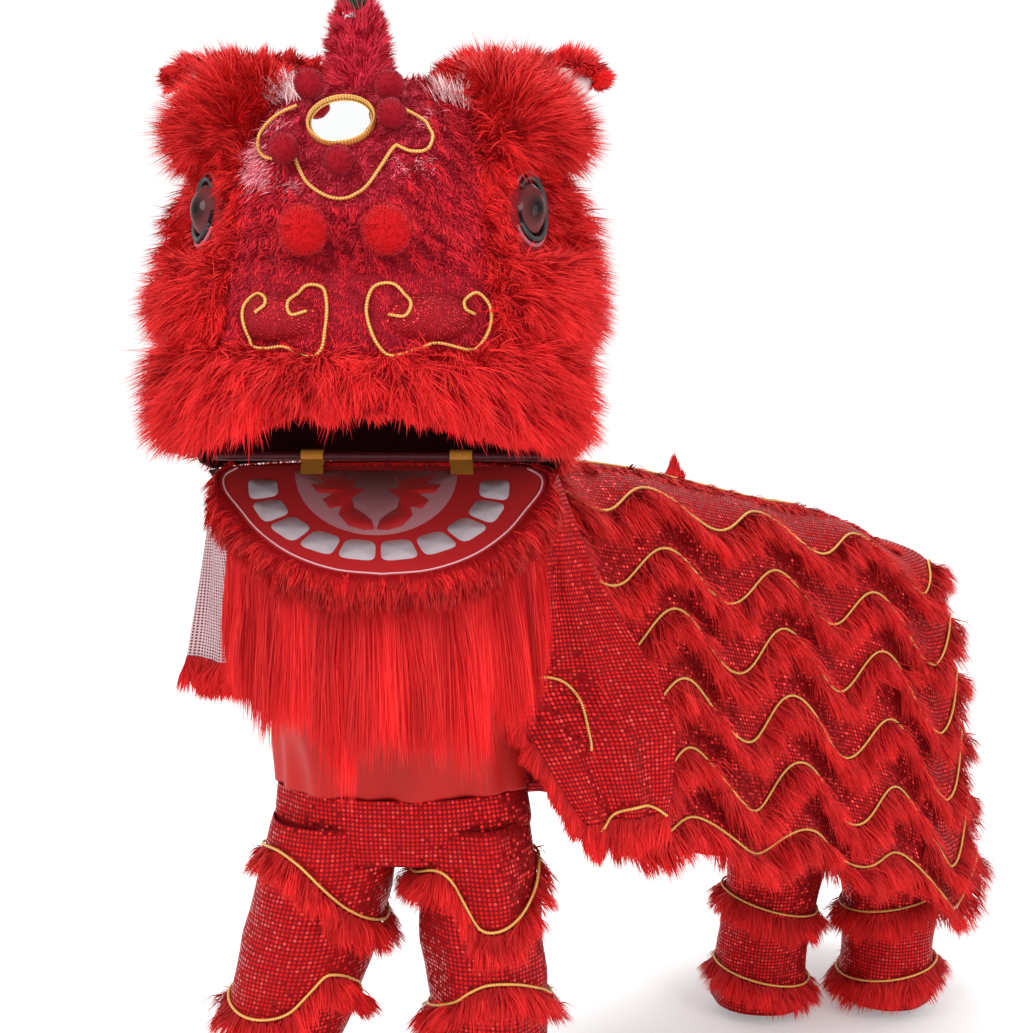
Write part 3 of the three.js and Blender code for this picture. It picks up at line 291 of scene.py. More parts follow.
def unit(v):
    return v / np.maximum(np.linalg.norm(v, axis=-1, keepdims=True), 1e-9)


def stack(*parts):
    return np.stack(np.broadcast_arrays(*parts), axis=-1).astype(float)


HEAD = [(-25, 285, 262, 232), (60, 297, 300, 245), (130, 298, 322, 254), (200, 294, 325, 258), (280, 285, 292, 258),
        (360, 278, 245, 250), (450, 266, 203, 228), (530, 228, 136, 180), (575, 150, 76, 110), (592, 1, 1, 1)]
RIM_SIDE, RIM_MOUTH, HEAD_TOP = -25, 14, 592


def rim_height(turn):
    folded = np.abs(np.where(np.asarray(turn) > 180, np.asarray(turn) - 360, turn))
    return blend(RIM_MOUTH, RIM_SIDE, smooth(folded, 76, 90)) + 74 * np.exp(-((folded / 42) ** 2))


def head_point(turn, z):
    half, front, back = table(HEAD, z)
    angle = np.radians(turn)
    side = np.sign(np.sin(angle)) * np.abs(np.sin(angle)) ** (2 / 2.4)
    ahead = np.sign(np.cos(angle)) * np.abs(np.cos(angle)) ** (2 / 2.4)
    return stack(side * half, -ahead * np.where(ahead > 0, front, back), np.asarray(z, float))


def facing(surface, u, v, du, dv):
    return unit(np.cross(surface(u + du, v) - surface(u - du, v), surface(u, v + dv) - surface(u, v - dv)))


def head_facing(turn, z):
    return facing(head_point, turn, np.clip(z, RIM_SIDE + 3, HEAD_TOP - 8), 1.5, 2)


def off_head(turn, z, lift):
    return head_point(turn, z) + head_facing(turn, z) * np.asarray(lift)[..., None]


def shell_height(turn, row):
    share = np.sin(row / 7 * math.pi / 2) ** 0.92
    return blend(rim_height(turn), HEAD_TOP, share)


def lip_top(turn):
    return rim_height(turn) + 4 + blend(78, 172, smooth(np.abs(turn), 0, 70))


def cheek_high(turn):
    return blend(300, 434, smooth(np.abs(turn), 74, 86))


SPINE = [(40, -28, -655), (300, -34, -715), (500, -62, -775), (840, -140, -875), (1030, -178, -950),
         (1220, -262, -1060)]
PROFILE = [(0, 0, 0), (.08, 95, .015), (.16, 155, .075), (.26, 190, .18), (.45, 214, .38), (.7, 236, .66),
           (1, 268, 1)]
CAPE_ROWS = [(.19, .035, .53), (.345, .055, .51), (.5, .065, .48), (.66, .065, .44), (.82, .065, .42),
             (.95, .035, .42)]
SPINE_START = np.array([20.0, 200, 0])
HEADING = math.radians(48)
SPINE_WAY = np.array([math.sin(HEADING), math.cos(HEADING), 0])
SPINE_SIDE = np.array([SPINE_WAY[1], -SPINE_WAY[0], 0])
FRONT_HEMS = {1: np.array([348.0, 190, -640]), -1: np.array([-110.0, 455, -640])}
SIDE_SHARE = 0.38
WAVES = 10


def cape_front(side, girth):
    turn = blend(180, 104, np.minimum(girth / 0.24, 1))
    rim = head_point(turn, np.full_like(turn, RIM_SIDE))
    point = stack(side * rim[..., 0] * 0.99, rim[..., 1] - 2, np.full_like(turn, RIM_SIDE - 2.7))
    fall = np.clip((girth - 0.24) / 0.76, 0, 1)
    hem = np.where((side > 0)[..., None], FRONT_HEMS[1], FRONT_HEMS[-1])
    point = point + (hem - point) * fall[..., None]
    bow = 22 * np.sin(math.pi * fall)
    point[..., 0] += side * bow
    point[..., 1] += bow
    return point


def cape_smooth(way, girth):
    way, girth = np.broadcast_arrays(np.asarray(way, float), np.asarray(girth, float))
    side = np.where(way < 0.5, 1.0, -1.0)
    mirrored = np.where(way < 0.5, way, 1 - way)
    out, drop = table(PROFILE, girth)
    run = np.minimum(mirrored / SIDE_SHARE, 1)
    along = blend(40, 1220, run)
    ridge, hem = table(SPINE, along)
    out = out * (1 + 0.1 * smooth(run, 0.75, 1))
    turn = np.maximum(mirrored - SIDE_SHARE, 0) / (0.5 - SIDE_SHARE) * math.pi / 2
    point = (SPINE_START + SPINE_WAY * (along + out * np.sin(turn))[..., None]
             + SPINE_SIDE * (side * out * np.cos(turn))[..., None])
    point[..., 2] = blend(ridge, hem, drop)
    near = (1 - smooth(run, 0, 0.24))[..., None]
    return point + (cape_front(side, girth) - point) * near


def cape_facing(way, girth):
    way = np.clip(way, 0.004, 0.996)
    return -facing(cape_smooth, way, np.maximum(girth, 0.03), 0.003, 0.015)


def cape_point(way, girth, lift=0.0):
    fold = np.sin(np.asarray(way) * WAVES * 3 * math.pi + girth * 5) * 9 * girth * girth
    return cape_smooth(way, girth) + cape_facing(way, girth) * (fold + lift)[..., None]


def wave_girth(row, way):
    girth, swing, shift = CAPE_ROWS[row]
    return girth + swing * np.sin(2 * math.pi * (np.asarray(way) * WAVES + shift))


def fold_lift(way):
    return 14 * smooth(np.minimum(way, 1 - way), 0, 0.08)


def puff(way, girth):
    """How far the cloth is blown out: 1 at each row of waves, 0 midway between two."""
    share = np.zeros(np.broadcast(way, girth).shape)
    rows = [np.full_like(share, 0.07)] + [wave_girth(k, way) + share for k in range(6)] + [np.full_like(share, 1.0)]
    for k in range(len(rows) - 1):
        low, high = rows[k], rows[k + 1]
        inside = (girth >= low) & (girth < high)
        t = np.clip((girth - low) / np.maximum(high - low, 1e-6), 0, 1)
        if k == 0:
            value = t
        elif k == len(rows) - 2:
            value = 1 - t
        else:
            value = np.abs(2 * t - 1)
        share = np.where(inside, value, share)
    return share * share * (3 - 2 * share)


def drift(points, size, seed):
    """A smooth vector noise in space, about -1 to 1, with features of that size in millimetres."""
    local = np.random.default_rng(seed)
    total = np.zeros(points.shape)
    for _ in range(7):
        wave = unit(local.normal(size=3)) * 2 * math.pi / size * local.uniform(0.6, 1.6)
        phase = local.uniform(0, 2 * math.pi, 3)
        total += np.sin((points @ wave)[:, None] + phase) * 0.42
    return total


# Meshes

class Heap:
    """Triangles gathered from many small forms into one mesh."""

    def __init__(self):
        self.points, self.triangles, self.normals, self.tones, self.count = [], [], [], [], 0

    def add(self, points, triangles, normals, tones):
        self.points.append(points)
        self.triangles.append(triangles + self.count)
        self.normals.append(normals)
        self.tones.append(tones)
        self.count += len(points)

    def skin(self, net, tone, wrapped=False):
        """A net of points, columns by rows, as a surface."""
        columns, rows = net.shape[:2]
        triangles = net_triangles(columns, rows, wrapped)
        flat = net.reshape(-1, 3)
        tones = np.tile(np.asarray(tone, float), (len(flat), 1))
        self.add(flat, triangles, vertex_normals(flat, triangles), tones)

    def build(self, name, body, material, nodes=(), own_normals=True):
        points = np.concatenate(self.points)
        triangles = np.concatenate(self.triangles)
        piece = mesh_piece(name, points, triangles, material)
        colours = np.ones((len(points), 4), np.float32)
        colours[:, :3] = np.concatenate(self.tones)
        attribute = piece.data.color_attributes.new("tone", "FLOAT_COLOR", "POINT")
        attribute.data.foreach_set("color", colours.ravel())
        if own_normals:
            piece.data.normals_split_custom_set_from_vertices(unit(np.concatenate(self.normals)).tolist())
        return dress(piece, body, nodes)


def grid(first, second):
    """Two lists of numbers spread over a net of columns by rows."""
    return np.meshgrid(first, second, indexing="ij")


def unit_grid(columns, rows):
    return grid(np.linspace(0, 1, columns), np.linspace(0, 1, rows))


def net_triangles(columns, rows, wrapped=False):
    steps = columns if wrapped else columns - 1
    i = np.arange(steps)[:, None]
    j = np.arange(rows - 1)[None, :]
    here, beside = i * rows + j, ((i + 1) % columns) * rows + j
    a, b, c, d = (x.ravel() for x in (here, beside, beside + 1, here + 1))
    return np.concatenate([np.stack([a, b, c], 1), np.stack([a, c, d], 1)])


def vertex_normals(points, triangles):
    corners = points[triangles]
    face = np.cross(corners[:, 1] - corners[:, 0], corners[:, 2] - corners[:, 0])
    total = np.zeros_like(points)
    for k in range(3):
        np.add.at(total, triangles[:, k], face)
    return unit(total)


def dress(piece, body, nodes):
    """Says what a piece rides on and which solids it stands in for."""
    if body is not None:
        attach(piece, body)
    if nodes:
        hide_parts(*nodes)
    return piece


def mesh_piece(name, points, triangles, material, uv=None):
    mesh = bpy.data.meshes.new(name)
    mesh.from_pydata((np.asarray(points) * MM).tolist(), [], np.asarray(triangles).tolist())
    mesh.shade_smooth()
    if uv is not None:
        layer = mesh.uv_layers.new(name="UVMap")
        layer.data.foreach_set("uv", np.asarray(uv, np.float32)[np.asarray(triangles).ravel()].ravel())
    mesh.materials.append(material)
    piece = bpy.data.objects.new(name, mesh)
    bpy.context.scene.collection.objects.link(piece)
    return piece


def strands(heap, root, way, face, length, width, palette, droop=0.3, fall=(0, 0, -1), steps=2, clump=14.0,
            gather=0.24, ruffle=0.40, seed=1, splay=0.5, painted_light=None, patch=38.0):
    """Tapered strands from their roots. way is where they leave to, face what they are lit as."""
    local = np.random.default_rng(seed)
    count = len(root)
    length = np.broadcast_to(np.asarray(length, float), count) * local.uniform(0.72, 1.18, count)
    waves = drift(root, patch, seed + 5)
    way = unit(way + waves * ruffle + local.normal(size=(count, 3)) * ruffle * 0.45)
    length = length * (1 + 0.16 * waves[:, 1])
    fall = np.broadcast_to(np.asarray(fall, float), (count, 3))
    droop = np.broadcast_to(np.asarray(droop, float), count)[:, None]
    bent = unit(way * (1 - droop) + fall * droop)
    middle = root + way * (length * 0.5)[:, None]
    tip = middle + bent * (length * 0.5)[:, None]
    if clump:
        cell = np.floor((root + local.uniform(-2, 2, (count, 3))) / clump).astype(np.int64)
        key = (cell[:, 0] * 73856093) ^ (cell[:, 1] * 19349663) ^ (cell[:, 2] * 83492791)
        _, group = np.unique(key, return_inverse=True)
        group = group.ravel()
        size = np.bincount(group)[:, None]
        centre = np.stack([np.bincount(group, tip[:, k]) for k in range(3)], 1) / size
        pull = (gather * local.uniform(0.5, 1.2, count))[:, None]
        tip = tip + (centre[group] - tip) * pull
        middle = middle + (centre[group] - tip) * pull * 0.12
        tuft = local.uniform(0.8, 1.15, len(size))[group]
    else:
        tuft = np.ones(count)
    width = np.broadcast_to(np.asarray(width, float), count)
    across = unit(np.cross(bent, face) + local.normal(size=(count, 3)) * 0.35)
    levels = steps * 2 + 1
    points = np.zeros((count, levels, 3))
    normals = np.zeros((count, levels, 3))
    tones = np.zeros((count, levels, 3))
    dark, mid, bright = (np.asarray(c, float) for c in palette)
    own = local.uniform(0, 1, count) ** 1.4
    # An optional brightness per strand, for painted light and shade.
    if painted_light is None:
        painted_light = np.ones(count)
    base = (mid + (bright - mid) * own[:, None]) * (tuft * painted_light * (1 + 0.1 * waves[:, 0]))[:, None]
    # Each strand is darker at its root and full tone at its tip: painted shade in the depth of the fur.
    deep = dark + (mid - dark) * 0.25 * own[:, None]
    for k in range(steps + 1):
        t = k / steps
        place = root * (1 - t) ** 2 + middle * 2 * t * (1 - t) + tip * t * t
        half = (width * 0.5 * (1 - t) ** 0.6)[:, None]
        tone = deep + (base - deep) * min(1, 0.3 + 0.8 * t)
        if k == steps:
            points[:, -1] = place
            normals[:, -1] = face
            tones[:, -1] = tone
            continue
        points[:, 2 * k] = place - across * half
        points[:, 2 * k + 1] = place + across * half
        normals[:, 2 * k] = face - across * splay
        normals[:, 2 * k + 1] = face + across * splay
        tones[:, 2 * k] = tone
        tones[:, 2 * k + 1] = tone
    pattern = []
    for k in range(steps - 1):
        a = 2 * k
        pattern += [(a, a + 1, a + 3), (a, a + 3, a + 2)]
    pattern.append((levels - 3, levels - 2, levels - 1))
    triangles = (np.arange(count)[:, None, None] * levels + np.asarray(pattern)).reshape(-1, 3)
    heap.add(points.reshape(-1, 3), triangles, normals.reshape(-1, 3), tones.reshape(-1, 3))


def scatter(surface, count, seed):
    """Places spread evenly over a surface(u, v) of the unit square."""
    local = np.random.default_rng(seed)
    u, v = local.uniform(0.002, 0.998, (2, count * 4))
    step = 0.004
    area = np.linalg.norm(np.cross(surface(u + step, v) - surface(u - step, v),
                                   surface(u, v + step) - surface(u, v - step)), axis=-1)
    keep = local.uniform(0, np.quantile(area, 0.98), len(u)) < area
    u, v = u[keep][:count], v[keep][:count]
    return u, v


def tube(parts, path, radius, sides=6):
    """Adds a round cord along a path of points: its points, triangles and UV in metres."""
    ahead = unit(np.gradient(path, axis=0))
    side = unit(np.cross(ahead, UP) + 1e-6)
    rise = unit(np.cross(side, ahead))
    angle = np.linspace(0, 2 * math.pi, sides, endpoint=False)
    ring = (path[:, None] + side[:, None] * (np.cos(angle) * radius)[None, :, None]
            + rise[:, None] * (np.sin(angle) * radius)[None, :, None])
    run = np.concatenate([[0], np.cumsum(np.linalg.norm(np.diff(path, axis=0), axis=1))]) * MM
    uv = np.stack(np.broadcast_arrays(run[:, None], (angle / (2 * math.pi))[None, :]), -1).reshape(-1, 2)
    count = len(path)
    i = np.arange(count - 1)[:, None]
    j = np.arange(sides)[None, :]
    a, b = i * sides + j, i * sides + (j + 1) % sides
    c, d = b + sides, a + sides
    triangles = np.concatenate([np.stack([a, b, c], -1).reshape(-1, 3), np.stack([a, c, d], -1).reshape(-1, 3)])
    caps = [[0, k + 1, k] for k in range(1, sides - 1)]
    last = (count - 1) * sides
    caps += [[last, last + k, last + k + 1] for k in range(1, sides - 1)]
    triangles = np.concatenate([triangles, caps])
    parts.append((ring.reshape(-1, 3), triangles, uv))


def tubes_piece(name, paths, radius, material, body=COSTUME, sides=6):
    parts = []
    for path in paths:
        tube(parts, np.asarray(path, float), radius, sides)
    return gathered_piece(name, parts, material, body)


def gathered_piece(name, parts, material, body, nodes=()):
    offset = 0
    points, triangles, uvs = [], [], []
    for p, t, uv in parts:
        points.append(p)
        triangles.append(t + offset)
        uvs.append(uv)
        offset += len(p)
    piece = mesh_piece(name, np.concatenate(points), np.concatenate(triangles), material, np.concatenate(uvs))
    return dress(piece, body, nodes)


def cloth_skin(outer, inner, uv_grid, wrapped=False):
    """A cloth with two faces, sewn at its edges. Gives points, triangles and UV."""
    columns, rows = outer.shape[:2]
    half = columns * rows
    front = net_triangles(columns, rows, wrapped)
    back = front[:, ::-1] + half
    i = np.arange(columns if wrapped else columns - 1)
    seams = [(i * rows + j, ((i + 1) % columns) * rows + j, flip) for j, flip in ((0, False), (rows - 1, True))]
    if not wrapped:
        j = np.arange(rows - 1)
        seams += [(i * rows + j, i * rows + j + 1, flip) for i, flip in ((0, True), (columns - 1, False))]
    edges = []
    for a, b, flip in seams:
        pair = [np.stack([a, a + half, b + half], 1), np.stack([a, b + half, b], 1)]
        edges += [p[:, ::-1] for p in pair] if flip else pair
    uv = uv_grid.reshape(-1, 2)
    return (np.concatenate([outer.reshape(-1, 3), inner.reshape(-1, 3)]),
            np.concatenate([front, back, *edges]), np.concatenate([uv, uv]))


def cloth_uv(net):
    """Distances over the cloth along its rows and down its columns, in metres."""
    across = np.linalg.norm(np.diff(net, axis=0), axis=-1)
    down = np.linalg.norm(np.diff(net, axis=1), axis=-1)
    middle = net.shape[1] // 2
    u = np.concatenate([[0], np.cumsum(across[:, middle])])
    v = np.concatenate([[0], np.cumsum(down.mean(axis=0))])
    return np.stack(grid(u, v), -1) * MM


FUR = hair_material("fur")
PLUSH = hair_material("plush", 0.75, 0.12, (1.0, 0.4, 0.5))
GOLD = cord_material("gold_cord", (0.88, 0.46, 0.11))
SEQUIN = sequin_material("sequin_cloth", (0.22, 0.002, 0.004), (0.60, 0.008, 0.010))
SATIN = cloth_material("satin", (0.48, 0.007, 0.004), 0.5, 0.05)
NOSE_CLOTH = sequin_material("nose_sequins", (0.22, 0.003, 0.008), (0.42, 0.012, 0.02), 0.0035, 0.0012, 0.5)
MIRROR = plain("mirror_glass", (0.93, 0.94, 0.95), 0.06, metallic=1.0)
SILVER = cloth_material("silver_cloth", (0.82, 0.80, 0.80), 0.35, 0.2, 700, 0.6)
EYE = hair_material("eye_paint", 0.12, 0.0)
BLACK = plain("black_paint", (0.006, 0.005, 0.006), 0.35)
LID = cloth_material("pink_cloth", (0.50, 0.12, 0.15), 0.6, 0.2)
BOARD = cloth_material("board_cloth", (0.50, 0.010, 0.014), 0.6, 0.3, 1200, 0.2)
TOOTH = cloth_material("tooth_cloth", (0.54, 0.46, 0.50), 0.7, 0.2, 1200, 0.2)
TONGUE = cloth_material("tongue_cloth", (0.42, 0.16, 0.18), 0.7, 0.2, 1200, 0.2)
RIM_PINK = plain("pink_piping", (0.80, 0.42, 0.45), 0.6)
TAPE = cloth_material("amber_tape", (0.70, 0.27, 0.03), 0.6, 0.2, 1500, 0.3)
WOOD = cloth_material("painted_wood", (0.09, 0.010, 0.014), 0.35, 0.0, 60, 0.3)
NET = sequin_material("white_net", (0.62, 0.42, 0.44), (0.10, 0.012, 0.016), 0.006, 0.0019, 0.1)
GLITTER = sequin_material("glitter_cloth", (0.13, 0.10, 0.12), (0.30, 0.24, 0.28), 0.0028, 0.0012, 1.0)
SHELL = shell_material()


# Fur on the head

def patch_surface(turns, low, high, depth, lift, share, lean=0.0, shell_rows=None):
    """The outer form of a fur patch at a share of its depth, over the unit square."""
    def surface(u, v):
        u, v = np.broadcast_arrays(np.asarray(u, float), np.asarray(v, float))
        turn = blend(turns[0], turns[1], u)
        z = shell_height(turn, blend(*shell_rows, v)) if shell_rows else blend(low(turn), high(turn), v)
        full = fullness(u, v)
        point = off_head(turn, z, lift + 4 * share + depth * full * share)
        point[..., 2] -= lean * full * share
        return point
    return surface


def fullness(u, v):
    across = np.minimum(1, np.maximum(np.sin(math.pi * u), 0) * 2.2) ** 0.6
    upward = np.minimum(1, np.maximum(np.sin(math.pi * v), 0) * 1.6) ** 0.6
    return across * upward


def patch_hair(name, node_name, turns, low, high, depth, lift, count, seed, lean=0.0, shell_rows=None,
               way_down=0.35, long=0.85, extra=24, above=None):
    surface = patch_surface(turns, low, high, depth, lift, 0.5, lean, shell_rows)
    heap = Heap()
    u, v = unit_grid(41, 25)
    # The undercoat beneath the strands is dark red: painted shade inside the fur.
    heap.skin(surface(u, v), np.asarray(RED_FUR[0]) * 1.2)
    u, v = scatter(surface, count, seed)
    root = surface(u, v)
    face = facing(surface, np.clip(u, 0.01, 0.99), np.clip(v, 0.01, 0.99), 0.008, 0.008)
    outward = head_facing(blend(turns[0], turns[1], u), root[:, 2])
    face = unit(face * 0.6 + outward * 0.6)
    full = fullness(u, v)
    way = face + np.array([0, 0, -way_down])
    length = depth * full * long + extra
    if above is not None:
        room = root[:, 2] - above(blend(turns[0], turns[1], u))
        length = np.minimum(length, np.maximum(room * 1.25, 15))
        way = way + UP * 0.45 * (1 - smooth(room, 15, 60))[:, None]
    strands(heap, root, way, unit(face + np.array([0, -0.1, 0.25])), length, 2.7, RED_FUR,
            droop=0.35, clump=15.0, ruffle=0.45, gather=0.2, seed=seed)
    heap.build(name, COSTUME, FUR, (node_name,))


def head_fur():
    for side, suffix in SIDES:
        turns = (36.4, 107.6) if side > 0 else (-107.6, -36.4)
        patch_hair(f"brow_hair_{suffix}", f"brow_fur_{suffix}", turns,
                   lambda t: 440 + 10 * smooth(np.abs(t), 30, 60), lambda t: np.full_like(t, 566.0),
                   62, 2.2, 9500, seed=20 + side, way_down=-0.05, long=0.75, extra=26)
        patch_hair(f"cheek_hair_{suffix}", f"cheek_fur_{suffix}", turns, lambda t: lip_top(t) + 6, cheek_high,
                   46, 1.25, 10500, seed=30 + side, long=0.8, extra=26)
    patch_hair("lip_hair", "lip_fur", (-84, 84), lambda t: rim_height(t) + 4, lip_top, 52, 0.9, 15000, lean=10,
               seed=40, way_down=0.3, extra=28, above=lambda t: rim_height(t) - 16)
    patch_hair("crown_hair", "crown_fur", (108.4, 251.6), None, None, 40, 0.9, 9300, shell_rows=(1, 6), seed=50)
    patch_hair("neck_hair", "neck_fur", (96, 264), lambda t: np.full_like(t, RIM_SIDE + 5.0),
               lambda t: np.full_like(t, 114.0), 34, 0.9, 6500, seed=60, way_down=0.7)


def cape_cloth():
    ways = np.linspace(0, 1, 231)
    girths = np.concatenate([np.linspace(0, 0.07, 6), np.linspace(0.085, 1, 52)])
    way, girth = grid(ways, girths)
    lift = puff(way, girth) * fold_lift(way)
    crease = 2.2 * np.sin(way * 210 + 3 * np.sin(girth * 9)) * smooth(girth, 0.1, 0.5) * (1 - puff(way, girth))
    outer = cape_point(way, girth, lift + crease)[::-1]
    inner = cape_point(way, girth, lift + crease - 2.4)[::-1]
    points, triangles, uv = cloth_skin(outer, inner, cloth_uv(outer))
    piece = mesh_piece("cape_cloth", points, triangles, SEQUIN, uv)
    dress(piece, COSTUME, ("cape",))


def cape_trim():
    way = np.linspace(0.012, 0.988, 340)
    paths = []
    for row in range(6):
        girth = wave_girth(row, way)
        paths.append(cape_point(way, girth, fold_lift(way) + 3.2))
    tubes_piece("cape_gold_cords", paths, CORD_RADIUS, GOLD)


def cape_fur():
    for row in range(6):
        heap = Heap()
        local = np.random.default_rng(70 + row)
        count = 9900
        way = local.uniform(0.01, 0.99, count)
        depth = local.uniform(0, 1, count)
        girth = wave_girth(row, way) + 0.004 + depth * 0.03
        girth = np.minimum(girth, 1.0)
        root = cape_point(way, girth, fold_lift(way) * (1 - depth * 0.35) + 1.5)
        face = cape_facing(way, girth)
        down = unit(cape_smooth(way, np.minimum(girth + 0.02, 1)) - cape_smooth(way, girth - 0.02))
        strands(heap, root, face * 0.75 + down * 0.8, unit(face + UP * 0.3),
                78 - 18 * depth, 3.4, TRIM_FUR, droop=0.5, seed=80 + row, clump=18.0, gather=0.34, ruffle=0.42)
        heap.build(f"cape_fringe_hair_{row + 1}", COSTUME, FUR, (f"cape_fringe_{row + 1}",))


# The face: plush, eye zones, panel, mirror, pompoms, nose

def lathe(profile, sides, stand):
    """Turns a profile of (radius, height) round a stand's axis. Gives a net of points."""
    place, axis = stand
    across = unit(np.cross(axis, [0.0, 0, 1]))
    up = np.cross(across, axis)
    angle = np.linspace(0, 2 * math.pi, sides, endpoint=False)
    ring = np.cos(angle)[:, None] * across + np.sin(angle)[:, None] * up
    return np.stack([place + ring * r + axis * h for r, h in profile], axis=1)


def head_stand(turn, z):
    """A place on the head and the way out from it."""
    turn, z = np.array([float(turn)]), np.array([float(z)])
    return head_point(turn, z)[0], head_facing(turn, z)[0]


def net_piece(name, net, material, nodes, body=COSTUME, wrapped=True):
    flat = net.reshape(-1, 3)
    triangles = net_triangles(net.shape[0], net.shape[1], wrapped)
    piece = mesh_piece(name, flat, triangles, material, cloth_uv(net).reshape(-1, 2))
    return dress(piece, body, nodes)


def smooth_run(stops, count):
    """A smooth run of places through a few of them. Gives one array per column."""
    return table([(k, *stop) for k, stop in enumerate(stops)], np.linspace(0, len(stops) - 1, count))


PLUSH_TURN = 36.5
MIRROR_PLACE = (-5, 497)
EYE_TURN, EYE_HEIGHT, EYE_WIDE, EYE_TALL = 57, 378, 38, 44
NOSE_TURN, NOSE_HEIGHT, NOSE_WIDE, NOSE_TALL = 18, 218, 62, 34
PALE_TUFTS_FROM = 530
TUFTS = [(-31, 445, 30), (-30, 425, 26), (-27, 433, 24), (-25, 418, 22), (-31, 462, 20), (-24, 500, 18),
         (16, 436, 16), (-29, 505, 20), (20, 500, 18), (9, 436, 12), (-17, 404, 14), (-33, 546, 34),
         (-27, 548, 26), (26, 546, 30), (33, 540, 28)]
PANEL_CORDS = [
    [(-21, 521), (-27, 508), (-30.5, 490), (-31.5, 472), (-29, 450), (-24.2, 441), (-19, 447), (-16.5, 443)],
    [(-16.5, 443), (-14.8, 428), (-11.5, 404), (-6.2, 385), (-2, 382), (0.8, 396), (4, 427), (6.5, 450), (7.8, 458)],
    [(7.8, 458), (11.8, 449), (16.5, 452), (18.5, 471), (17.5, 484), (16, 496), (9.5, 515)],
]
LEFT_CURL = [(7, 218), (10.8, 215), (12, 234), (8.2, 258), (4, 256), (2.5, 234), (2.8, 209), (4.8, 180), (7.8, 167),
             (14, 176), (19, 183), (27, 174), (30.5, 179), (34.2, 204), (34.5, 230), (30.8, 248), (27, 239),
             (26.5, 225), (29.8, 220)]
RIGHT_CURL = [(-8.5, 222), (-12, 216), (-13, 234), (-9.5, 256), (-5.6, 254), (-4.4, 234), (-4.4, 205), (-5.2, 175),
              (-8.2, 166), (-14, 178), (-19.2, 176), (-23.4, 180), (-25.5, 204), (-26.2, 230), (-23.5, 247),
              (-20, 240), (-19, 228), (-21.5, 218)]


def in_panel(turn, z):
    centre = ((turn + 4) / 15) ** 2 + ((z - 440) / 62) ** 2 < 1
    one_lobe = ((turn + 22) / 9) ** 2 + ((z - 478) / 40) ** 2 < 1
    other_lobe = ((turn - 12) / 6.5) ** 2 + ((z - 480) / 30) ** 2 < 1
    top = (np.abs(turn + 6) < 24) & (z > 470)
    return centre | one_lobe | other_lobe | top


def face_plush():
    heap = Heap()
    surface = patch_surface((-PLUSH_TURN, PLUSH_TURN), lambda t: lip_top(t) - 2, lambda t: np.full_like(t, 580.0),
                            10, -2, 0.8)
    u, v = unit_grid(41, 41)
    # The undercoat beneath the plush is near-black red: painted shade inside the fur.
    heap.skin(surface(u, v), (0.22, 0.004, 0.012))
    u, v = scatter(surface, 18500, 90)
    root = surface(u, v)
    turn = blend(-PLUSH_TURN, PLUSH_TURN, u)
    z = root[:, 2]
    face = head_facing(turn, z)
    inside = in_panel(turn, z)
    mirror_place, _ = head_stand(*MIRROR_PLACE)
    clear = np.linalg.norm(root - mirror_place, axis=1) > 51
    for mask, palette, long, seed in ((inside & clear, CRIMSON, 9.0, 91), (~inside & clear, FACE_FUR, 17.0, 92)):
        nose = smooth(z[mask], 275, 300)
        length = long * (0.45 + 0.55 * nose)
        strands(heap, root[mask], face[mask] * 0.8 - UP * 0.55, face[mask] + UP * 0.3,
                length, 2.2, palette, droop=0.3, clump=9, seed=seed, patch=24, gather=0.15, ruffle=0.3)
    local = np.random.default_rng(93)
    for turn0, z0, long in TUFTS:
        t = turn0 + local.normal(size=110) * 2.2
        h = z0 + local.normal(size=110) * 9
        spot = off_head(t, h, np.full(110, 7.0))
        out = head_facing(t, h)
        pale = z0 > PALE_TUFTS_FROM
        way = out * 0.6 + np.array([-0.35, 0, 0.5 if pale else -0.7])
        strands(heap, spot, way, out + UP * 0.3, long, 2.2, PALE_PINK if pale else PINK, droop=0.3, clump=12,
                seed=int(94 + z0))
    heap.build("face_plush_hair", COSTUME, PLUSH, ("face_plush",))
    cords = [off_head(*smooth_run(path, 70), np.full(70, 15.0)) for path in PANEL_CORDS]
    tubes_piece("panel_gold_cords", cords, 2.7, GOLD)


def pad_net(turn, z, wide, tall, thick, lift, rings=14, sides=64):
    """A crowned pad on the head, as rings from its middle to its edge."""
    angle = np.linspace(0, 2 * math.pi, sides, endpoint=False)[:, None]
    reach = np.linspace(0.001, 1, rings)[None, :]
    half = float(table(HEAD, np.array([float(z)]))[0][0])
    turns = turn + math.degrees(wide / half) * reach * np.cos(angle)
    heights = z + tall * reach * np.sin(angle)
    rise = lift + 1 + (thick - 1) * (1 - np.broadcast_to(reach, turns.shape) ** 2) ** 0.8
    return off_head(turns, heights, rise)


def nose():
    for side, suffix, path in ((1, "left", LEFT_CURL), (-1, "right", RIGHT_CURL)):
        net = pad_net(side * NOSE_TURN, NOSE_HEIGHT, NOSE_WIDE, NOSE_TALL, 19, 6)
        pad = net_piece(f"nose_cloth_{suffix}", net[::-1], NOSE_CLOTH, (f"nose_pad_{suffix}",))
        turn, z = smooth_run(path, 150)
        half = float(table(HEAD, np.array([float(NOSE_HEIGHT)]))[0][0])
        across = (turn - side * NOSE_TURN) / math.degrees(NOSE_WIDE / half)
        reach = across ** 2 + ((z - NOSE_HEIGHT) / NOSE_TALL) ** 2
        rise = 9 + 18 * np.clip(1 - reach, 0, 1) ** 0.8
        tubes_piece(f"nose_curl_{suffix}", [off_head(turn, z, rise + 6 * np.clip(reach - 0.7, 0, 1))], 2.5, GOLD)


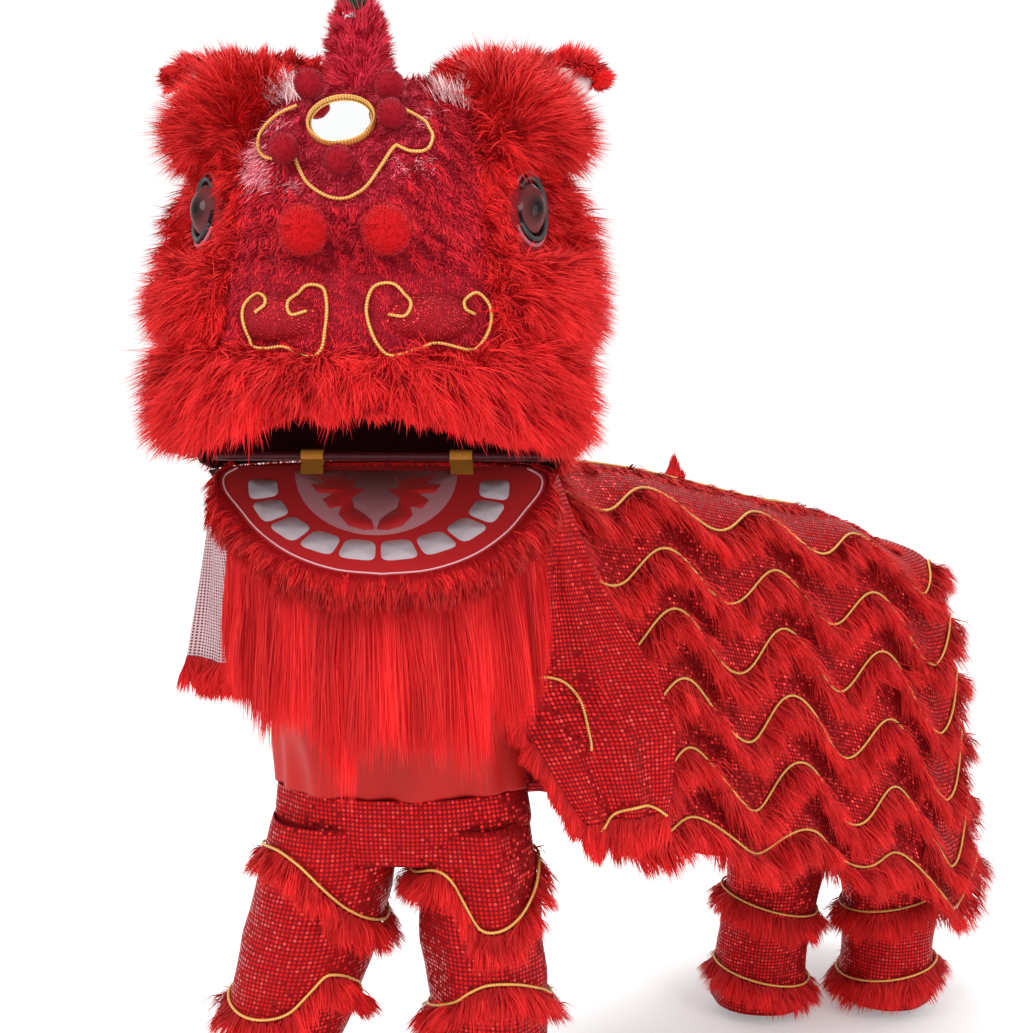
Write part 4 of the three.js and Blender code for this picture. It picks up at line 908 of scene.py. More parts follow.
def mirror():
    stand = head_stand(*MIRROR_PLACE)
    profile = [(0.1, 16.5), (20, 16.2), (38, 15.2), (43, 14.2), (46.4, 12.6), (46.4, 3), (0.1, 3)]
    net_piece("mirror_glass", lathe(profile, 72, stand)[::-1], MIRROR, ("mirror",))
    ring = [(49.4 + 2.2 * math.cos(a), 13 + 6 * math.sin(a)) for a in np.linspace(0, 2 * math.pi, 14)]
    net_piece("mirror_gold_ring", lathe(ring, 72, stand)[::-1], GOLD, ("mirror_ring",))


def pompom(name, turn, z, radius, palette, count):
    place, axis = head_stand(turn, z)
    centre = place + axis * (14 + radius * 1.02)
    heap = Heap()
    angle, tilt = grid(np.linspace(0, 2 * math.pi, 25), np.linspace(0.01, math.pi - 0.01, 13))
    ball = stack(np.sin(tilt) * np.cos(angle), np.sin(tilt) * np.sin(angle), np.cos(tilt))
    heap.skin((centre + ball * radius * 0.95)[::-1], np.asarray(palette[1]) * 0.8)
    local = np.random.default_rng(int(z))
    out = unit(local.normal(size=(count, 3)))
    strands(heap, centre + out * radius * 0.94, out, out, radius * 0.09, 1.5, palette, droop=0.05, clump=0,
            ruffle=0.12, seed=int(z) + 1, patch=16)
    stem = lathe([(3, 2), (3, 16)], 8, (place, axis))
    heap.skin(stem, (0.2, 0.01, 0.02), wrapped=True)
    heap.build(f"{name}_hair", COSTUME, PLUSH, (name,))


SMALL_POMPOMS = [(-17, 536), (6, 532), (6.5, 488), (-18.2, 442), (-3.4, 425)]


def pompoms():
    for k, (turn, z) in enumerate(SMALL_POMPOMS):
        pompom(f"pompom_small_{k + 1}", turn, z, 23, VELVET, 1400)
    for suffix, turn in (("left", 6.5), ("right", -9.5)):
        pompom(f"pompom_big_{suffix}", turn, 312, 37, DEEP_RED, 2800)


def horn():
    foot = head_point(np.array([-4.0]), np.array([562.0]))[0]

    def surface(u, v):
        angle = 2 * math.pi * np.asarray(u)
        v = np.clip(v, 0, 1)
        reach = 40 * np.sqrt(np.maximum(1 - v ** 3.2, 0.02)) * 1.02
        return stack(foot[0] - 4 * v + reach * np.cos(angle), foot[1] + 34 + 18 * v + reach * np.sin(angle),
                     542 + 160 * v)

    heap = Heap()
    u, v = unit_grid(33, 17)
    # The undercoat beneath the horn fur is dark: painted shade inside the fur.
    heap.skin(surface(u, v), np.asarray(HORN_FUR[0]) * 1.2)
    local = np.random.default_rng(120)
    u, v = local.uniform(0, 1, (2, 6200))
    v = v ** 0.9
    root = surface(u, v)
    out = unit(stack(np.cos(2 * math.pi * u), np.sin(2 * math.pi * u), 0.25 + 1.2 * v ** 4))
    dark = (((root[:, 0] - foot[0] + 4) / 17) ** 2 + ((root[:, 2] - 692) / 13) ** 2 < 1) & (root[:, 1] < foot[1] + 46)
    for mask, palette in ((~dark, HORN_FUR), (dark, GREEN)):
        strands(heap, root[mask], out[mask] + UP * 0.25, out[mask] + UP * 0.2, 21, 2.4,
                palette, droop=0.0, clump=8, gather=0.1, seed=121, patch=22)
    fleck = np.tile(foot + np.array([-9.0, 8, 108]), (40, 1)) + local.normal(size=(40, 3)) * (4, 1, 2)
    strands(heap, fleck, np.tile([0.2, -1.0, 0.2], (40, 1)), np.tile([0.0, -1, 0.3], (40, 1)), 13, 1.6, WHITE,
            clump=0, seed=122)
    heap.build("horn_hair", COSTUME, PLUSH, ("horn",))


def ear_at(side, angle, reach, depth):
    return stack(side * (222 + 118 * reach * np.cos(angle)), 58 + 16 * reach * reach + depth,
                 582 + 44 * reach * np.sin(angle) + 18 * reach * np.cos(angle) ** 2)


def ears():
    for side, suffix in SIDES:
        angle, reach = grid(np.linspace(0, 2 * math.pi, 49), np.linspace(0.01, 1, 10))
        front, back = ear_at(side, angle, reach, 0.0), ear_at(side, angle, reach, 4.0)
        net = np.concatenate([front, back[:, ::-1]], axis=1)
        net_piece(f"ear_cloth_{suffix}", net, SILVER, (f"ear_{suffix}",), wrapped=False)
        heap = Heap()
        local = np.random.default_rng(130 + side)
        count = 4500
        turn = np.radians(local.uniform(-14, 194, count))
        place = ear_at(side, turn, 1.04, 2.0)
        away = stack(side * np.cos(turn), 0 * turn, np.sin(turn))
        spin = local.uniform(0, 2 * math.pi, count)
        out = unit(away * np.cos(spin)[:, None] + np.array([0, 1.0, 0]) * np.sin(spin)[:, None])
        lit = out + np.array([0, -0.2, 0.4])
        ends = np.minimum(1.15, np.sin((np.degrees(turn) + 14) / 208 * math.pi) * 1.2 + 0.8)
        strands(heap, place + out * (7 * ends)[:, None], out + away * 0.4, lit, 25 * ends, 2.9, RED_FUR, droop=0.15,
                clump=13, seed=131 + side)
        path = ear_at(side, np.radians(np.linspace(-14, 194, 30)), 1.04, 2.0)
        core = []
        tube(core, path, 10, 8)
        # The core inside the ear fur is darker than the hollows colour: painted shade.
        heap.add(core[0][0], core[0][1], vertex_normals(core[0][0], core[0][1]),
                 np.tile(np.asarray(RED_FUR[0]) * 0.7, (len(core[0][0]), 1)))
        heap.build(f"ear_hair_{suffix}", COSTUME, FUR, (f"ear_fur_{suffix}",))


def lid(side, angle, scale, lift):
    """A cord's path round an eye."""
    wide = math.degrees(EYE_WIDE * scale / 278.0)
    return off_head(side * EYE_TURN + wide * np.cos(angle), EYE_HEIGHT + EYE_TALL * scale * np.sin(angle),
                    np.full(len(angle), lift))


def eyes():
    for side, suffix in SIDES:
        net = pad_net(side * EYE_TURN, EYE_HEIGHT, EYE_WIDE, EYE_TALL, 30, -2, rings=40, sides=72)
        heap = Heap()
        angle = np.linspace(0, 2 * math.pi, 72, endpoint=False)[:, None]
        reach = np.linspace(0, 1, 40)[None, :]
        x, y = reach * np.cos(angle) * side, reach * np.sin(angle)
        middle = np.hypot(x + 0.22, y + 0.05)
        white, ball = np.array([0.34, 0.29, 0.31]), np.array([0.13, 0.030, 0.032])
        fade = smooth(middle, 0.25, 0.75)[..., None]
        tone = np.array([0.030, 0.008, 0.008]) * (1 - fade) + ball * fade
        tone = np.where(((middle > 0.76) & (x > 0) & (y > -0.35))[..., None], white, tone)
        tone = np.where((middle < 0.20)[..., None], np.array([0.006, 0.003, 0.003]), tone)
        tone = np.where((reach > np.where((x > -0.3) | (y < 0), 0.84, 0.95))[..., None],
                        np.array([0.006, 0.004, 0.005]), tone)
        flat = net.reshape(-1, 3)
        triangles = net_triangles(72, 40, True)[:, ::-1]
        heap.add(flat, triangles, vertex_normals(flat, triangles), tone.reshape(-1, 3))
        heap.build(f"eye_ball_{suffix}", COSTUME, EYE, (f"eye_{suffix}",), own_normals=False)
        rim = np.radians(np.linspace(-150, 140, 80) if side > 0 else np.linspace(40, 330, 80))
        tubes_piece(f"eye_lid_pink_{suffix}", [lid(side, rim, 1.24, 7.0)], 3.5, LID, sides=8)
        tubes_piece(f"eye_lid_black_{suffix}", [lid(side, rim, 1.06, 9.0)], 5.5, BLACK, sides=8)


def eye_zones():
    """Short fur on the shell round the eyes, between brow and cheek."""
    for side, suffix in SIDES:
        turns = (33.5, 104) if side > 0 else (-104, -33.5)
        surface = patch_surface(turns, lambda t: cheek_high(t) - 14, lambda t: np.full_like(t, 456.0), 8, 0.5, 0.4)
        heap = Heap()
        u, v = unit_grid(31, 21)
        # The undercoat beneath the fur is near-black red: painted shade inside the fur.
        heap.skin(surface(u, v), (0.2, 0.004, 0.008))
        u, v = scatter(surface, 4400, 140 + side)
        root = surface(u, v)
        turn = blend(turns[0], turns[1], u)
        away = ((np.abs(turn) - EYE_TURN) / 12) ** 2 + ((root[:, 2] - 376) / 57) ** 2
        keep = away > 1
        face = head_facing(turn, root[:, 2])[keep]
        root = root[keep]
        strands(heap, root, face * 0.8 - UP * 0.5, face + UP * 0.3,
                18 + 16 * smooth(away[keep], 1.0, 2.2), 2.7, RED_FUR, droop=0.3, seed=141 + side, clump=12)
        heap.build(f"eye_zone_hair_{suffix}", COSTUME, FUR)


# The jaw

JAW_PITCH = math.radians(37)
JAW_AHEAD = np.array([0.09, -math.cos(JAW_PITCH), -math.sin(JAW_PITCH)])
JAW_DOWN = np.array([0, math.sin(JAW_PITCH), -math.cos(JAW_PITCH)])
BOARD_EDGE = [(0, 238, 16), (1, 262, 40), (2, 258, 74), (3, 232, 118), (4, 196, 172), (5, 142, 222), (6, 74, 254),
              (7, 0, 264)]
FUR_CUT = [(0.3, -3), (22, -6), (40, 12), (36, 38), (6, 54), (-24, 40), (-30, 6.3)]
FUR_CORE = 0.75


def jaw_point(side, ahead, down):
    side, ahead, down = np.broadcast_arrays(*(np.asarray(x, float) for x in (side, ahead, down)))
    return stack(side, 0 * side, 0 * side) + JAW_AHEAD * ahead[..., None] + JAW_DOWN * (down + 6)[..., None]


def board_edge(share):
    share = np.asarray(share, float)
    side, ahead = table(BOARD_EDGE, 7 * (1 - np.abs(1 - 2 * share)))
    return np.where(share < 0.5, side, -side), ahead


def edge_away(share):
    x0, y0 = board_edge(np.clip(share - 0.02, 0, 1))
    x1, y1 = board_edge(np.clip(share + 0.02, 0, 1))
    away = np.stack([y0 - y1, x1 - x0], -1) * -1
    return away / np.linalg.norm(away, axis=-1, keepdims=True)


def hinge_room(ahead, least):
    """The share of the fur's depth that fits, less towards the hinge, where the shell is near."""
    return blend(least, 1, smooth(ahead, 50, 100))


def form_walls(count):
    k = np.arange(count)
    after = (k + 1) % count
    return k, after, [np.stack([k, k + count, after + count], 1), np.stack([k, after + count, after], 1)]


def flat_form(outline, parts):
    """A thin cloth form on the board, fanned out from its middle; outline is a list of (side, ahead)."""
    outline = np.asarray(outline, float)
    middle = outline.mean(axis=0)
    count = len(outline)
    sides, ahead = outline.T
    points = np.concatenate([jaw_point(sides, ahead, -0.9), jaw_point(sides, ahead, 0.4),
                             jaw_point(middle[0], middle[1], -0.9)[None]])
    k, after, walls = form_walls(count)
    triangles = np.concatenate([np.stack([k, after, np.full(count, 2 * count)], 1), *walls])
    parts.append((points, triangles, points[:, :2] * MM))


def wavy_form(outline, parts):
    """A thin cloth form with a wavy outline, lying on another one."""
    outline = np.asarray(outline, float)
    points = np.concatenate([jaw_point(outline[:, 0], outline[:, 1], down) for down in (-1.4, -0.6)])
    faces = tessellate_polygon([[Vector((x, y, 0)) for x, y in outline]])
    walls = form_walls(len(outline))[2]
    parts.append((points, np.concatenate([np.asarray(faces), *walls]), points[:, :2] * MM))


def rounded(corners, radius=0.3):
    corners = np.asarray(corners, float)
    path = []
    for k in range(len(corners)):
        here, before, after = corners[k], corners[k - 1], corners[(k + 1) % len(corners)]
        a, b = here + (before - here) * radius, here + (after - here) * radius
        for t in np.linspace(0, 1, 5):
            path.append(a * (1 - t) ** 2 + here * 2 * t * (1 - t) + b * t * t)
    return path


def tooth_corner(angle, out):
    a = math.radians(angle)
    return (-6 + math.sin(a) * blend(158, 214, out), 58 + math.cos(a) * blend(128, 178, out))


TEETH, FIRST_TOOTH, TOOTH_STEP, TOOTH_GAP = 10, -94, 18.8, 1.3
FLAME = [(16, 166), (40, 156), (56, 132), (52, 112), (70, 118), (82, 98), (66, 84), (90, 82), (102, 62),
         (78, 60), (96, 40), (66, 44), (48, 36), (42, 54), (26, 44), (36, 68), (16, 74), (36, 94), (32, 116),
         (18, 128), (4, 144), (0, 164)]


def board():
    share = np.linspace(0, 1, 121)
    side, ahead = board_edge(share)
    reach = np.array([0.001, 0.4, 0.8, 0.93, 0.98, 1.0, 1.0, 0.98, 0.5, 0.001])
    down = np.array([-0.3, -0.3, -0.2, 0.1, 0.8, 2.0, 4.4, 6.0, 6.0, 6.0])
    x = side[:, None] * reach
    y = 110 + (ahead - 110)[:, None] * reach
    net = jaw_point(x, y, np.broadcast_to(down, x.shape))
    piece = net_piece("jaw_board_cloth", net, BOARD, ("jaw_board",), JAW)
    parts = []
    for k in range(TEETH):
        first = FIRST_TOOTH + TOOTH_STEP * k + TOOTH_GAP
        last = FIRST_TOOTH + TOOTH_STEP * (k + 1) - TOOTH_GAP
        ends = ((first, 0.08), (first, 0.92), (last, 0.92), (last, 0.08))
        corners = [tooth_corner(angle, out) for angle, out in ends]
        flat_form(rounded(corners), parts)
    gathered_piece("jaw_teeth_cloth", parts, TOOTH, JAW)
    tongue = [(-10 + 130 * math.sin(a), 30 + 146 * math.cos(a)) for a in np.radians(np.linspace(-90, 90, 40))]
    parts = []
    flat_form(tongue, parts)
    gathered_piece("jaw_tongue_cloth", parts, TONGUE, JAW)
    parts = []
    for side_sign in (1, -1):
        outline = [(-10 + side_sign * (x + 2), y) for x, y in FLAME]
        wavy_form(outline[::side_sign], parts)
    gathered_piece("jaw_flames_cloth", parts, BOARD, JAW)
    side, ahead = board_edge(np.linspace(0.01, 0.99, 160))
    rim = jaw_point(side * 0.965, 110 + (ahead - 110) * 0.965, -0.4)
    tubes_piece("jaw_rim_cord", [rim], 1.5, RIM_PINK, JAW)


def jaw_fur():
    heap = Heap()

    def surface(u, v):
        """v runs over the cut from the board's rim, out, down and back under it."""
        u, v = np.broadcast_arrays(np.asarray(u, float), np.asarray(v, float))
        rows = [(k / 6, *cut) for k, cut in enumerate(FUR_CUT)]
        out, down = table(rows, v)
        x, y = board_edge(u)
        away = edge_away(u)
        room = hinge_room(y, 0.22)
        reach = out * FUR_CORE * np.where((v > 0.01) & (v < 0.99), room, 1)
        return jaw_point(x + away[..., 0] * reach, y + away[..., 1] * reach, down * FUR_CORE)

    u, v = unit_grid(81, 15)
    # The undercoat beneath the jaw fur takes the hollows colour: painted shade.
    heap.skin(surface(u, v), np.asarray(RED_FUR[0]))
    u, v = scatter(lambda a, b: surface(np.clip(a, 0, 1), np.clip(b, 0, 1)), 9000, 150)
    root = surface(u, v)
    x, y = board_edge(u)
    away = edge_away(u)
    out = stack(away[:, 0], 0 * u, 0 * u) + JAW_AHEAD * away[:, 1][:, None]
    turn = v * math.pi * 1.15 - 0.5
    face = unit(out * np.cos(turn)[:, None] + JAW_DOWN * np.sin(turn)[:, None])
    room = hinge_room(y, 0.35)
    strands(heap, root, face + out * 0.3 - UP * 0.3, face + UP * 0.3, 30 * room, 2.7,
            RED_FUR, droop=0.35, seed=151, clump=13)
    heap.build("jaw_hair", JAW, FUR, ("jaw_fur",))


def beard():
    heap = Heap()
    local = np.random.default_rng(160)
    count = 10000
    u = 3 / 16 + local.uniform(0, 1, count) * 10 / 16
    depth = local.uniform(-1, 1, count)
    x, y = board_edge(u)
    away = edge_away(u)
    room = hinge_room(y, 0.22)
    root = jaw_point(x + away[:, 0] * 6 * room, y + away[:, 1] * 6 * room, 52 + 0 * u)
    root[:, 1] += depth * 15
    root[:, 2] -= local.uniform(0, 12, count)
    centred = (u - 0.5) * 16 / 5
    length = (240 - 44 * centred ** 4) * (1 + 0.05 * np.sin(u * 160))
    face = unit(stack(0.35 * np.sin(u * 90), -1.0 + 0 * u, 0.15 + 0 * u))
    way = stack(0.09 * x / 250, -0.10 * depth + 0.06, -1.0 + 0 * u)
    # Bands of painted light and shade across the beard's locks.
    painted_light = 0.86 + 0.14 * np.sin(u * 70 + 2 * np.sin(u * 23))
    strands(heap, root, way, face, length, 3.0, RED_FUR, droop=0.4, fall=(0, 0.09, -1), steps=3, clump=20,
            gather=0.25, ruffle=0.085, seed=161, splay=0.6, painted_light=painted_light, patch=60)
    share = np.linspace(3 / 16, 13 / 16, 61)
    bx, by = board_edge(share)
    net = []
    for fall in np.linspace(0, 0.8, 9):
        line = jaw_point(bx, by, 50.0)
        line[:, 2] -= fall * (252 - 46 * ((share - 0.5) * 3.2) ** 4)
        line[:, 1] += 26 * fall
        line[:, 0] *= 1 + 0.08 * fall
        net.append(line)
    # The sheet behind the beard takes the hollows colour: painted shade.
    heap.skin(np.stack(net, 1), np.asarray(RED_FUR[0]))
    piece = heap.build("beard_hair", None, FUR, ("beard",))
    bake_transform(piece)


def loops_and_bar():
    for middle, suffix in ((-112, "right"), (128, "left")):
        angle = np.linspace(0, 2 * math.pi, 33)
        wide = np.array([-18, -17, 17, 18, 18, 17, -17, -18, -18.0])
        rise = np.array([9.2, 8.8, 8.8, 9.2, 10.6, 11, 11, 10.6, 9.2])
        net = np.stack([stack(middle + wide, -np.cos(a) * rise, np.sin(a) * rise) for a in angle], 0)
        band = [(net.reshape(-1, 3), net_triangles(33, 9), cloth_uv(net).reshape(-1, 2))]
        side = np.array([-18, 18, 18, -18.0])
        ahead = np.linspace(9, 44, 8)
        down = np.array([-8.3, -8.3, -6.4, -6.4])
        tail = np.stack([jaw_point(middle + side, np.full(4, a), down) for a in ahead], 0)
        box = np.concatenate([tail, tail[:, :1]], axis=1)
        band.append((box.reshape(-1, 3), net_triangles(8, 5), cloth_uv(box).reshape(-1, 2)))
        gathered_piece(f"jaw_tape_{suffix}", band, TAPE, JAW, (f"jaw_loop_{suffix}",))
    x = np.linspace(-279, 279, 60)
    bar = []
    tube(bar, stack(x, 0 * x, 0 * x), 8, 24)
    gathered_piece("hand_bar_wood", bar, WOOD, COSTUME, ("hand_bar",))


# Trousers

HIP = [(-705, 12, 160, 214, 112), (-650, 12, 162, 228, 126), (-585.3, 10, 168, 222, 132)]
WAIST = [(-585, 10, 168, 222, 132), (-500, 8, 172, 221, 144), (-400, 8, 172, 214, 150)]
FRONT_LEGS = {
    "right": [(-1322, -266, 150, 112, 110), (-1200, -240, 150, 106, 104), (-1040, -203, 150, 110, 106),
              (-850, -149, 153, 124, 117), (-720, -116, 156, 122, 120), (-600, -104, 158, 108, 112)],
    "left": [(-1322, 192, 150, 110, 110), (-1200, 180, 150, 102, 104), (-1040, 168, 150, 104, 106),
             (-850, 154, 153, 111, 114), (-720, 136, 156, 112, 118), (-600, 122, 158, 108, 112)]}
REAR_HIP = [(-760, 900, 980, 190, 130), (-640, 922, 1003, 218, 198), (-520, 927, 1008, 226, 210),
            (-400, 905, 985, 196, 176)]
REAR_LEGS = {
    "right": [(-1322, 740, 950, 108, 106), (-1180, 750, 952, 104, 102), (-1000, 775, 958, 112, 108),
              (-800, 815, 968, 116, 116), (-660, 840, 972, 112, 116)],
    "left": [(-1322, 1035, 986, 110, 106), (-1180, 1042, 988, 106, 102), (-1000, 1042, 990, 114, 108),
             (-800, 1015, 996, 116, 116), (-660, 985, 1000, 112, 116)]}
FRONT_RINGS = [(-762, 52), (-965, 40), (-1165, 34)]
REAR_RINGS = [(-1085, 26), (-1250, 20)]
LEG_STRANDS, LOWEST_ROOT, HEM_DEPTH = 2600, -1300, 1344
WAVED_RINGS = {
    ("right", 0): [(187, -692), (226, -670), (250, -685), (270, -723), (296, -776), (325, -815), (360, -836),
                   (420, -800), (490, -730), (547, -692)],
    ("left", 0): [(181, -700), (211, -698), (240, -683), (254, -705), (263, -764), (272, -825), (288, -842),
                  (309, -826), (335, -779), (360, -729), (430, -720), (500, -735), (541, -700)],
    ("right", 1): [(180, -985), (228, -998), (255, -988), (274, -960), (285, -911), (296, -866), (330, -900),
                   (360, -960), (450, -1000), (540, -985)],
    ("left", 1): [(181, -983), (242, -931), (258, -904), (275, -888), (300, -900), (330, -940), (360, -985),
                  (450, -990), (541, -983)]}


def ring_height(group, suffix, k, angle):
    """The height of a leg's fur ring and its cord at an angle."""
    z, swing = (FRONT_RINGS if group == "front" else REAR_RINGS)[k]
    level = z + swing * np.cos(angle) * (1 if suffix == "left" else -1)
    if group == "rear" or (suffix, k) not in WAVED_RINGS:
        return level
    rows = WAVED_RINGS[suffix, k]
    start = rows[0][0]
    waved = table(rows, start + np.mod(np.degrees(angle) - start, 360))[0]
    return blend(level, waved, 0.72)


def leg_point(rows, angle, z, lift):
    x, y, wide, deep = table(rows, z, curved=False)
    return stack(x + (wide + lift) * np.cos(angle), y + (deep + lift) * np.sin(angle), z)


def cloth_tube(rows, low, high, folds, seed, lift=-2.0, columns=49, levels=36):
    angle, z = grid(np.linspace(2 * math.pi, 0, columns), np.linspace(high, low, levels))
    base = leg_point(rows, angle, z, lift)
    wave = drift(base.reshape(-1, 3) * (1, 1, 0.55), 95, seed).reshape(base.shape)
    swing = folds * wave[..., 0]
    swing[-1] = swing[0]
    outer = leg_point(rows, angle, z, lift + swing)
    inner = leg_point(rows, angle, z, lift + swing - 2.2)
    return cloth_skin(outer, inner, cloth_uv(outer))


def trousers():
    waist = gathered_piece("front_waist_satin", [cloth_tube(WAIST, WAIST[0][0], -400, 8, 170, columns=97)], SATIN,
                           COSTUME, ("front_waist",))
    parts = [cloth_tube(HIP, -705, -585.3, 3, 171, levels=20)]
    parts += [cloth_tube(FRONT_LEGS[s], -1322, -640, 4, 172 + k) for k, s in enumerate(FRONT_LEGS)]
    front = gathered_piece("front_trousers_cloth", parts, SEQUIN, COSTUME, ("front_trousers",))
    parts = [cloth_tube(REAR_HIP, -760, -400, 2, 180, lift=-6)]
    parts += [cloth_tube(REAR_LEGS[s], -1322, -680, 4, 181 + k) for k, s in enumerate(REAR_LEGS)]
    rear = gathered_piece("rear_trousers_cloth", parts, SEQUIN, COSTUME, ("rear_trousers",))


def leg_fringe(group, suffix, k, rows):
    """One ring of fur round a leg."""
    heap = Heap()
    local = np.random.default_rng(190 + k + 5 * (group == "rear") + 2 * (suffix == "left"))
    angle = local.uniform(0, 2 * math.pi, LEG_STRANDS)
    depth = local.uniform(0, 1, LEG_STRANDS)
    height = np.maximum(ring_height(group, suffix, k, angle) - 2 - depth * 24, LOWEST_ROOT)
    root = leg_point(rows, angle, height, 1.0)
    out = stack(np.cos(angle), np.sin(angle), 0 * angle)
    if k == 0 and group == "front":
        x, y, wide, deep = table(FRONT_LEGS["right" if suffix == "left" else "left"], height, curved=False)
        keep = ((root[:, 0] - x) / wide) ** 2 + ((root[:, 1] - y) / deep) ** 2 > 1.05
        root, out, depth = root[keep], out[keep], depth[keep]
    long = np.minimum(58 - 8 * depth, (root[:, 2] + HEM_DEPTH) * 1.05)
    strands(heap, root, out * 0.85 - UP * 0.75, out + UP * 0.3, long, 3.6, TRIM_FUR, droop=0.5, seed=200 + k,
            clump=17, gather=0.34, ruffle=0.42)
    heap.build(f"{group}_leg_hair_{suffix}_{k + 1}", COSTUME, FUR, (f"{group}_leg_fringe_{suffix}_{k + 1}",))


def leg_cord(group, suffix, k, rows):
    """The path of the gold cord over a ring of fur, open where the two legs meet."""
    turn = np.linspace(0, 2 * math.pi, 120)
    path = leg_point(rows, turn, ring_height(group, suffix, k, turn) + 3, 3.5)
    if k == 0 and group == "front":
        keep = path[:, 0] > 14 if suffix == "left" else path[:, 0] < 2
        first = int(np.argmin(keep))
        path = np.roll(path, -first, axis=0)[np.roll(keep, -first)]
    return path


def leg_trim():
    cords = []
    for legs, rings, group in ((FRONT_LEGS, FRONT_RINGS, "front"), (REAR_LEGS, REAR_RINGS, "rear")):
        for suffix, rows in legs.items():
            for k in range(len(rings)):
                leg_fringe(group, suffix, k, rows)
                cords.append(leg_cord(group, suffix, k, rows))
    tubes_piece("leg_gold_cords", cords, CORD_RADIUS, GOLD)


# Wings

LEFT_WING = [(-655, 340, 88, 474, 156), (-600, 302, 72, 486, 162), (-500, 244, 60, 492, 168),
             (-410, 190, 104, 462, 158), (-340, 204, 52, 424, 146), (-230, 226, 40, 358, 112),
             (-120, 255, 26, 315, 90), (-25.3, 283, 6, 279, 62)]
RIGHT_WING = [(-395, -180, 92, -386, 232), (-330, -188, 80, -370, 214), (-230, -214, 62, -344, 176),
              (-120, -250, 40, -314, 120), (-25.3, -283, 6, -279, 62)]


def wing_point(rows, share, z, lift):
    ix, iy, ox, oy = table(rows, z, curved=False)
    front = unit(np.stack([oy - iy, -(ox - ix)], -1))
    front = np.where(front[..., 1:] > 0, -front, front)
    fall = (rows[-1][0] - z) / (rows[-1][0] - rows[0][0])
    fold = 10 * fall * np.sin(share * math.pi * 4) * np.sin(math.pi * share) + lift
    return stack(ix + (ox - ix) * share + front[..., 0] * fold, iy + (oy - iy) * share + front[..., 1] * fold, z)


def wings():
    for rows, suffix in ((LEFT_WING, "left"), (RIGHT_WING, "right")):
        share, z = grid(np.linspace(0, 1, 41), np.linspace(rows[-1][0], rows[0][0], 50))
        crease = 1.6 * np.sin(share * 31 + z * 0.012) * smooth(rows[-1][0] - z, 30, 200)
        outer, inner = wing_point(rows, share, z, crease), wing_point(rows, share, z, crease - 2.0)
        flip = slice(None, None, -1) if suffix == "left" else slice(None)
        outer, inner = outer[flip], inner[flip]
        fabric = SEQUIN if suffix == "left" else NET
        wing = gathered_piece(f"wing_cloth_{suffix}", [cloth_skin(outer, inner, cloth_uv(outer))], fabric, COSTUME,
                              (f"wing_{suffix}",))
        foot = rows[0][0]
        heap = Heap()
        local = np.random.default_rng(230 + len(rows))
        count = 3000
        share = local.uniform(0, 1, count)
        depth = local.uniform(0, 1, count)
        place = wing_point(rows, share, np.full(count, float(foot)) + depth * 18, 1.5)
        if suffix == "left":
            edge = local.uniform(0, 1, count) < 0.5
            height = blend(-415, foot, local.uniform(0, 1, count))
            place = np.where(edge[:, None], wing_point(rows, 0.02 + 0 * share, height, 1.5), place)
            lean = np.where(edge, -0.45, 0.0)
        else:
            edge = np.zeros(count, bool)
            lean = np.zeros(count)
        face = np.tile([0.15, -1.0, 0.2], (count, 1))
        way = stack(lean, -0.35 + 0 * lean, -1.0 + 0 * lean)
        strands(heap, place, way, face, np.where(edge, 44, 60), 3.6, TRIM_FUR, droop=0.45, seed=231, clump=16,
                gather=0.34)
        heap.build(f"wing_fringe_hair_{suffix}", COSTUME, FUR, (f"wing_fringe_{suffix}",))
    paths = []
    for stops in ([(0.01, -411), (0.12, -399), (0.24, -383), (0.39, -397), (0.45, -429), (0.41, -485), (0.38, -513)],
                  [(0.13, -650), (0.45, -623), (0.67, -615), (0.83, -625), (0.97, -641)]):
        share, z = smooth_run(stops, 50)
        paths.append(wing_point(LEFT_WING, share, z, 4.5))
    tubes_piece("wing_gold_cords", paths, CORD_RADIUS, GOLD)


# The spine

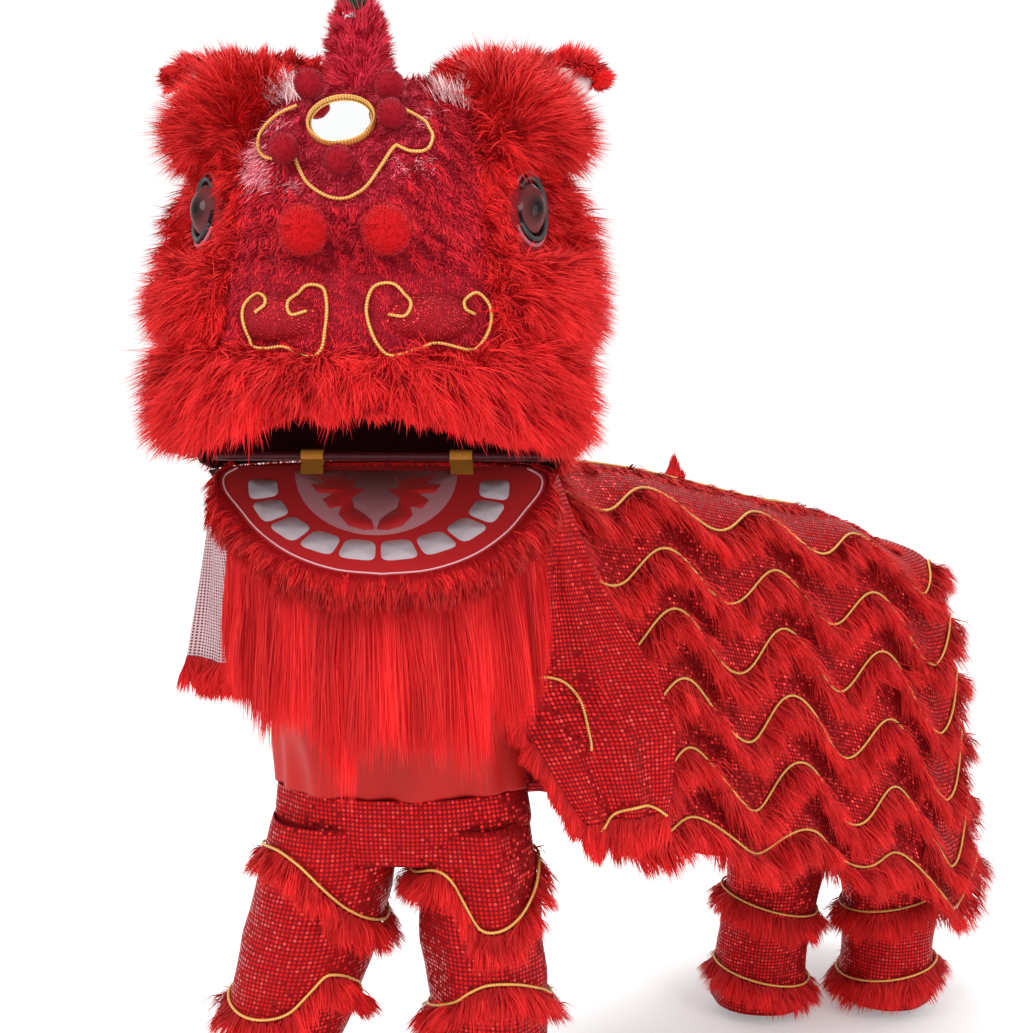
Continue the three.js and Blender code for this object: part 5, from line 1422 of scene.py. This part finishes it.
def spine():
    ways = np.linspace(4 / 40, 12 / 40, 60)
    rows = []
    for across in np.linspace(-1, 1, 15):
        way = ways if across >= 0 else 1 - ways
        ridge = cape_point(way, 0 * way)
        side = cape_point(way, 0 * way + 0.07)
        rows.append(ridge + (side - ridge) * 0.7 * abs(across) + UP * 2.2)
    outer = np.stack(rows, 1)
    band = cloth_skin(outer, outer - UP * 1.6, cloth_uv(outer))
    gathered_piece("spine_band_glitter", [band], GLITTER, COSTUME, ("spine_band",))
    edges = [outer[:, 0] + UP * 1.5, outer[:, -1] + UP * 1.5, outer[0], outer[-1]]
    tubes_piece("spine_gold_cords", edges, 2.2, GOLD)
    heap = Heap()
    local = np.random.default_rng(240)
    count = 3000
    for side in (1, -1):
        run = local.uniform(0.02, 0.40, count)
        girth = local.uniform(0.072, 0.100, count)
        way = run if side > 0 else 1 - run
        root = cape_point(way, girth, 2.0 + 0 * run)
        face = cape_facing(way, girth)
        down = unit(cape_smooth(way, girth + 0.02) - cape_smooth(way, girth - 0.02))
        strands(heap, root, face * 0.5 + down * 1.0, unit(face + UP * 0.5), 30, 3.0, TRIM_FUR,
                droop=0.5, seed=241 + side, clump=14)
    heap.build("spine_trim_hair", COSTUME, FUR)
    heap = Heap()
    low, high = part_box("spine_fin")
    foot = np.array([(low.x + high.x) / 2, (low.y + high.y) / 2, low.z]) * 1000
    count = 1500
    along = local.uniform(-1, 1, count)
    rise = local.uniform(0, 1, count) ** 1.3 * (1 - np.abs(along))
    root = foot + SPINE_WAY * (along * 22)[:, None] + UP * (rise * 44)[:, None]
    root += SPINE_SIDE * local.normal(size=count)[:, None] * 3
    way = stack(0 * along, 0 * along, 1 + 0 * along) + SPINE_WAY * (along * 0.3)[:, None]
    strands(heap, root, way, np.tile([0.3, -1.0, 0.3], (count, 1)), 16, 2.2, RED_FUR, droop=0.0, steps=2, seed=243,
            clump=10, ruffle=0.2)
    heap.build("spine_fin_hair", COSTUME, FUR, ("spine_fin",))


set_camera()
set_stage()
head_fur()
face_plush()
eye_zones()
nose()
mirror()
pompoms()
horn()
ears()
eyes()
board()
jaw_fur()
beard()
loops_and_bar()
trousers()
leg_trim()
wings()
spine()
cape_cloth()
cape_trim()
cape_fur()
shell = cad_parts["head_shell"]
shell.data.materials.clear()
shell.data.materials.append(SHELL)
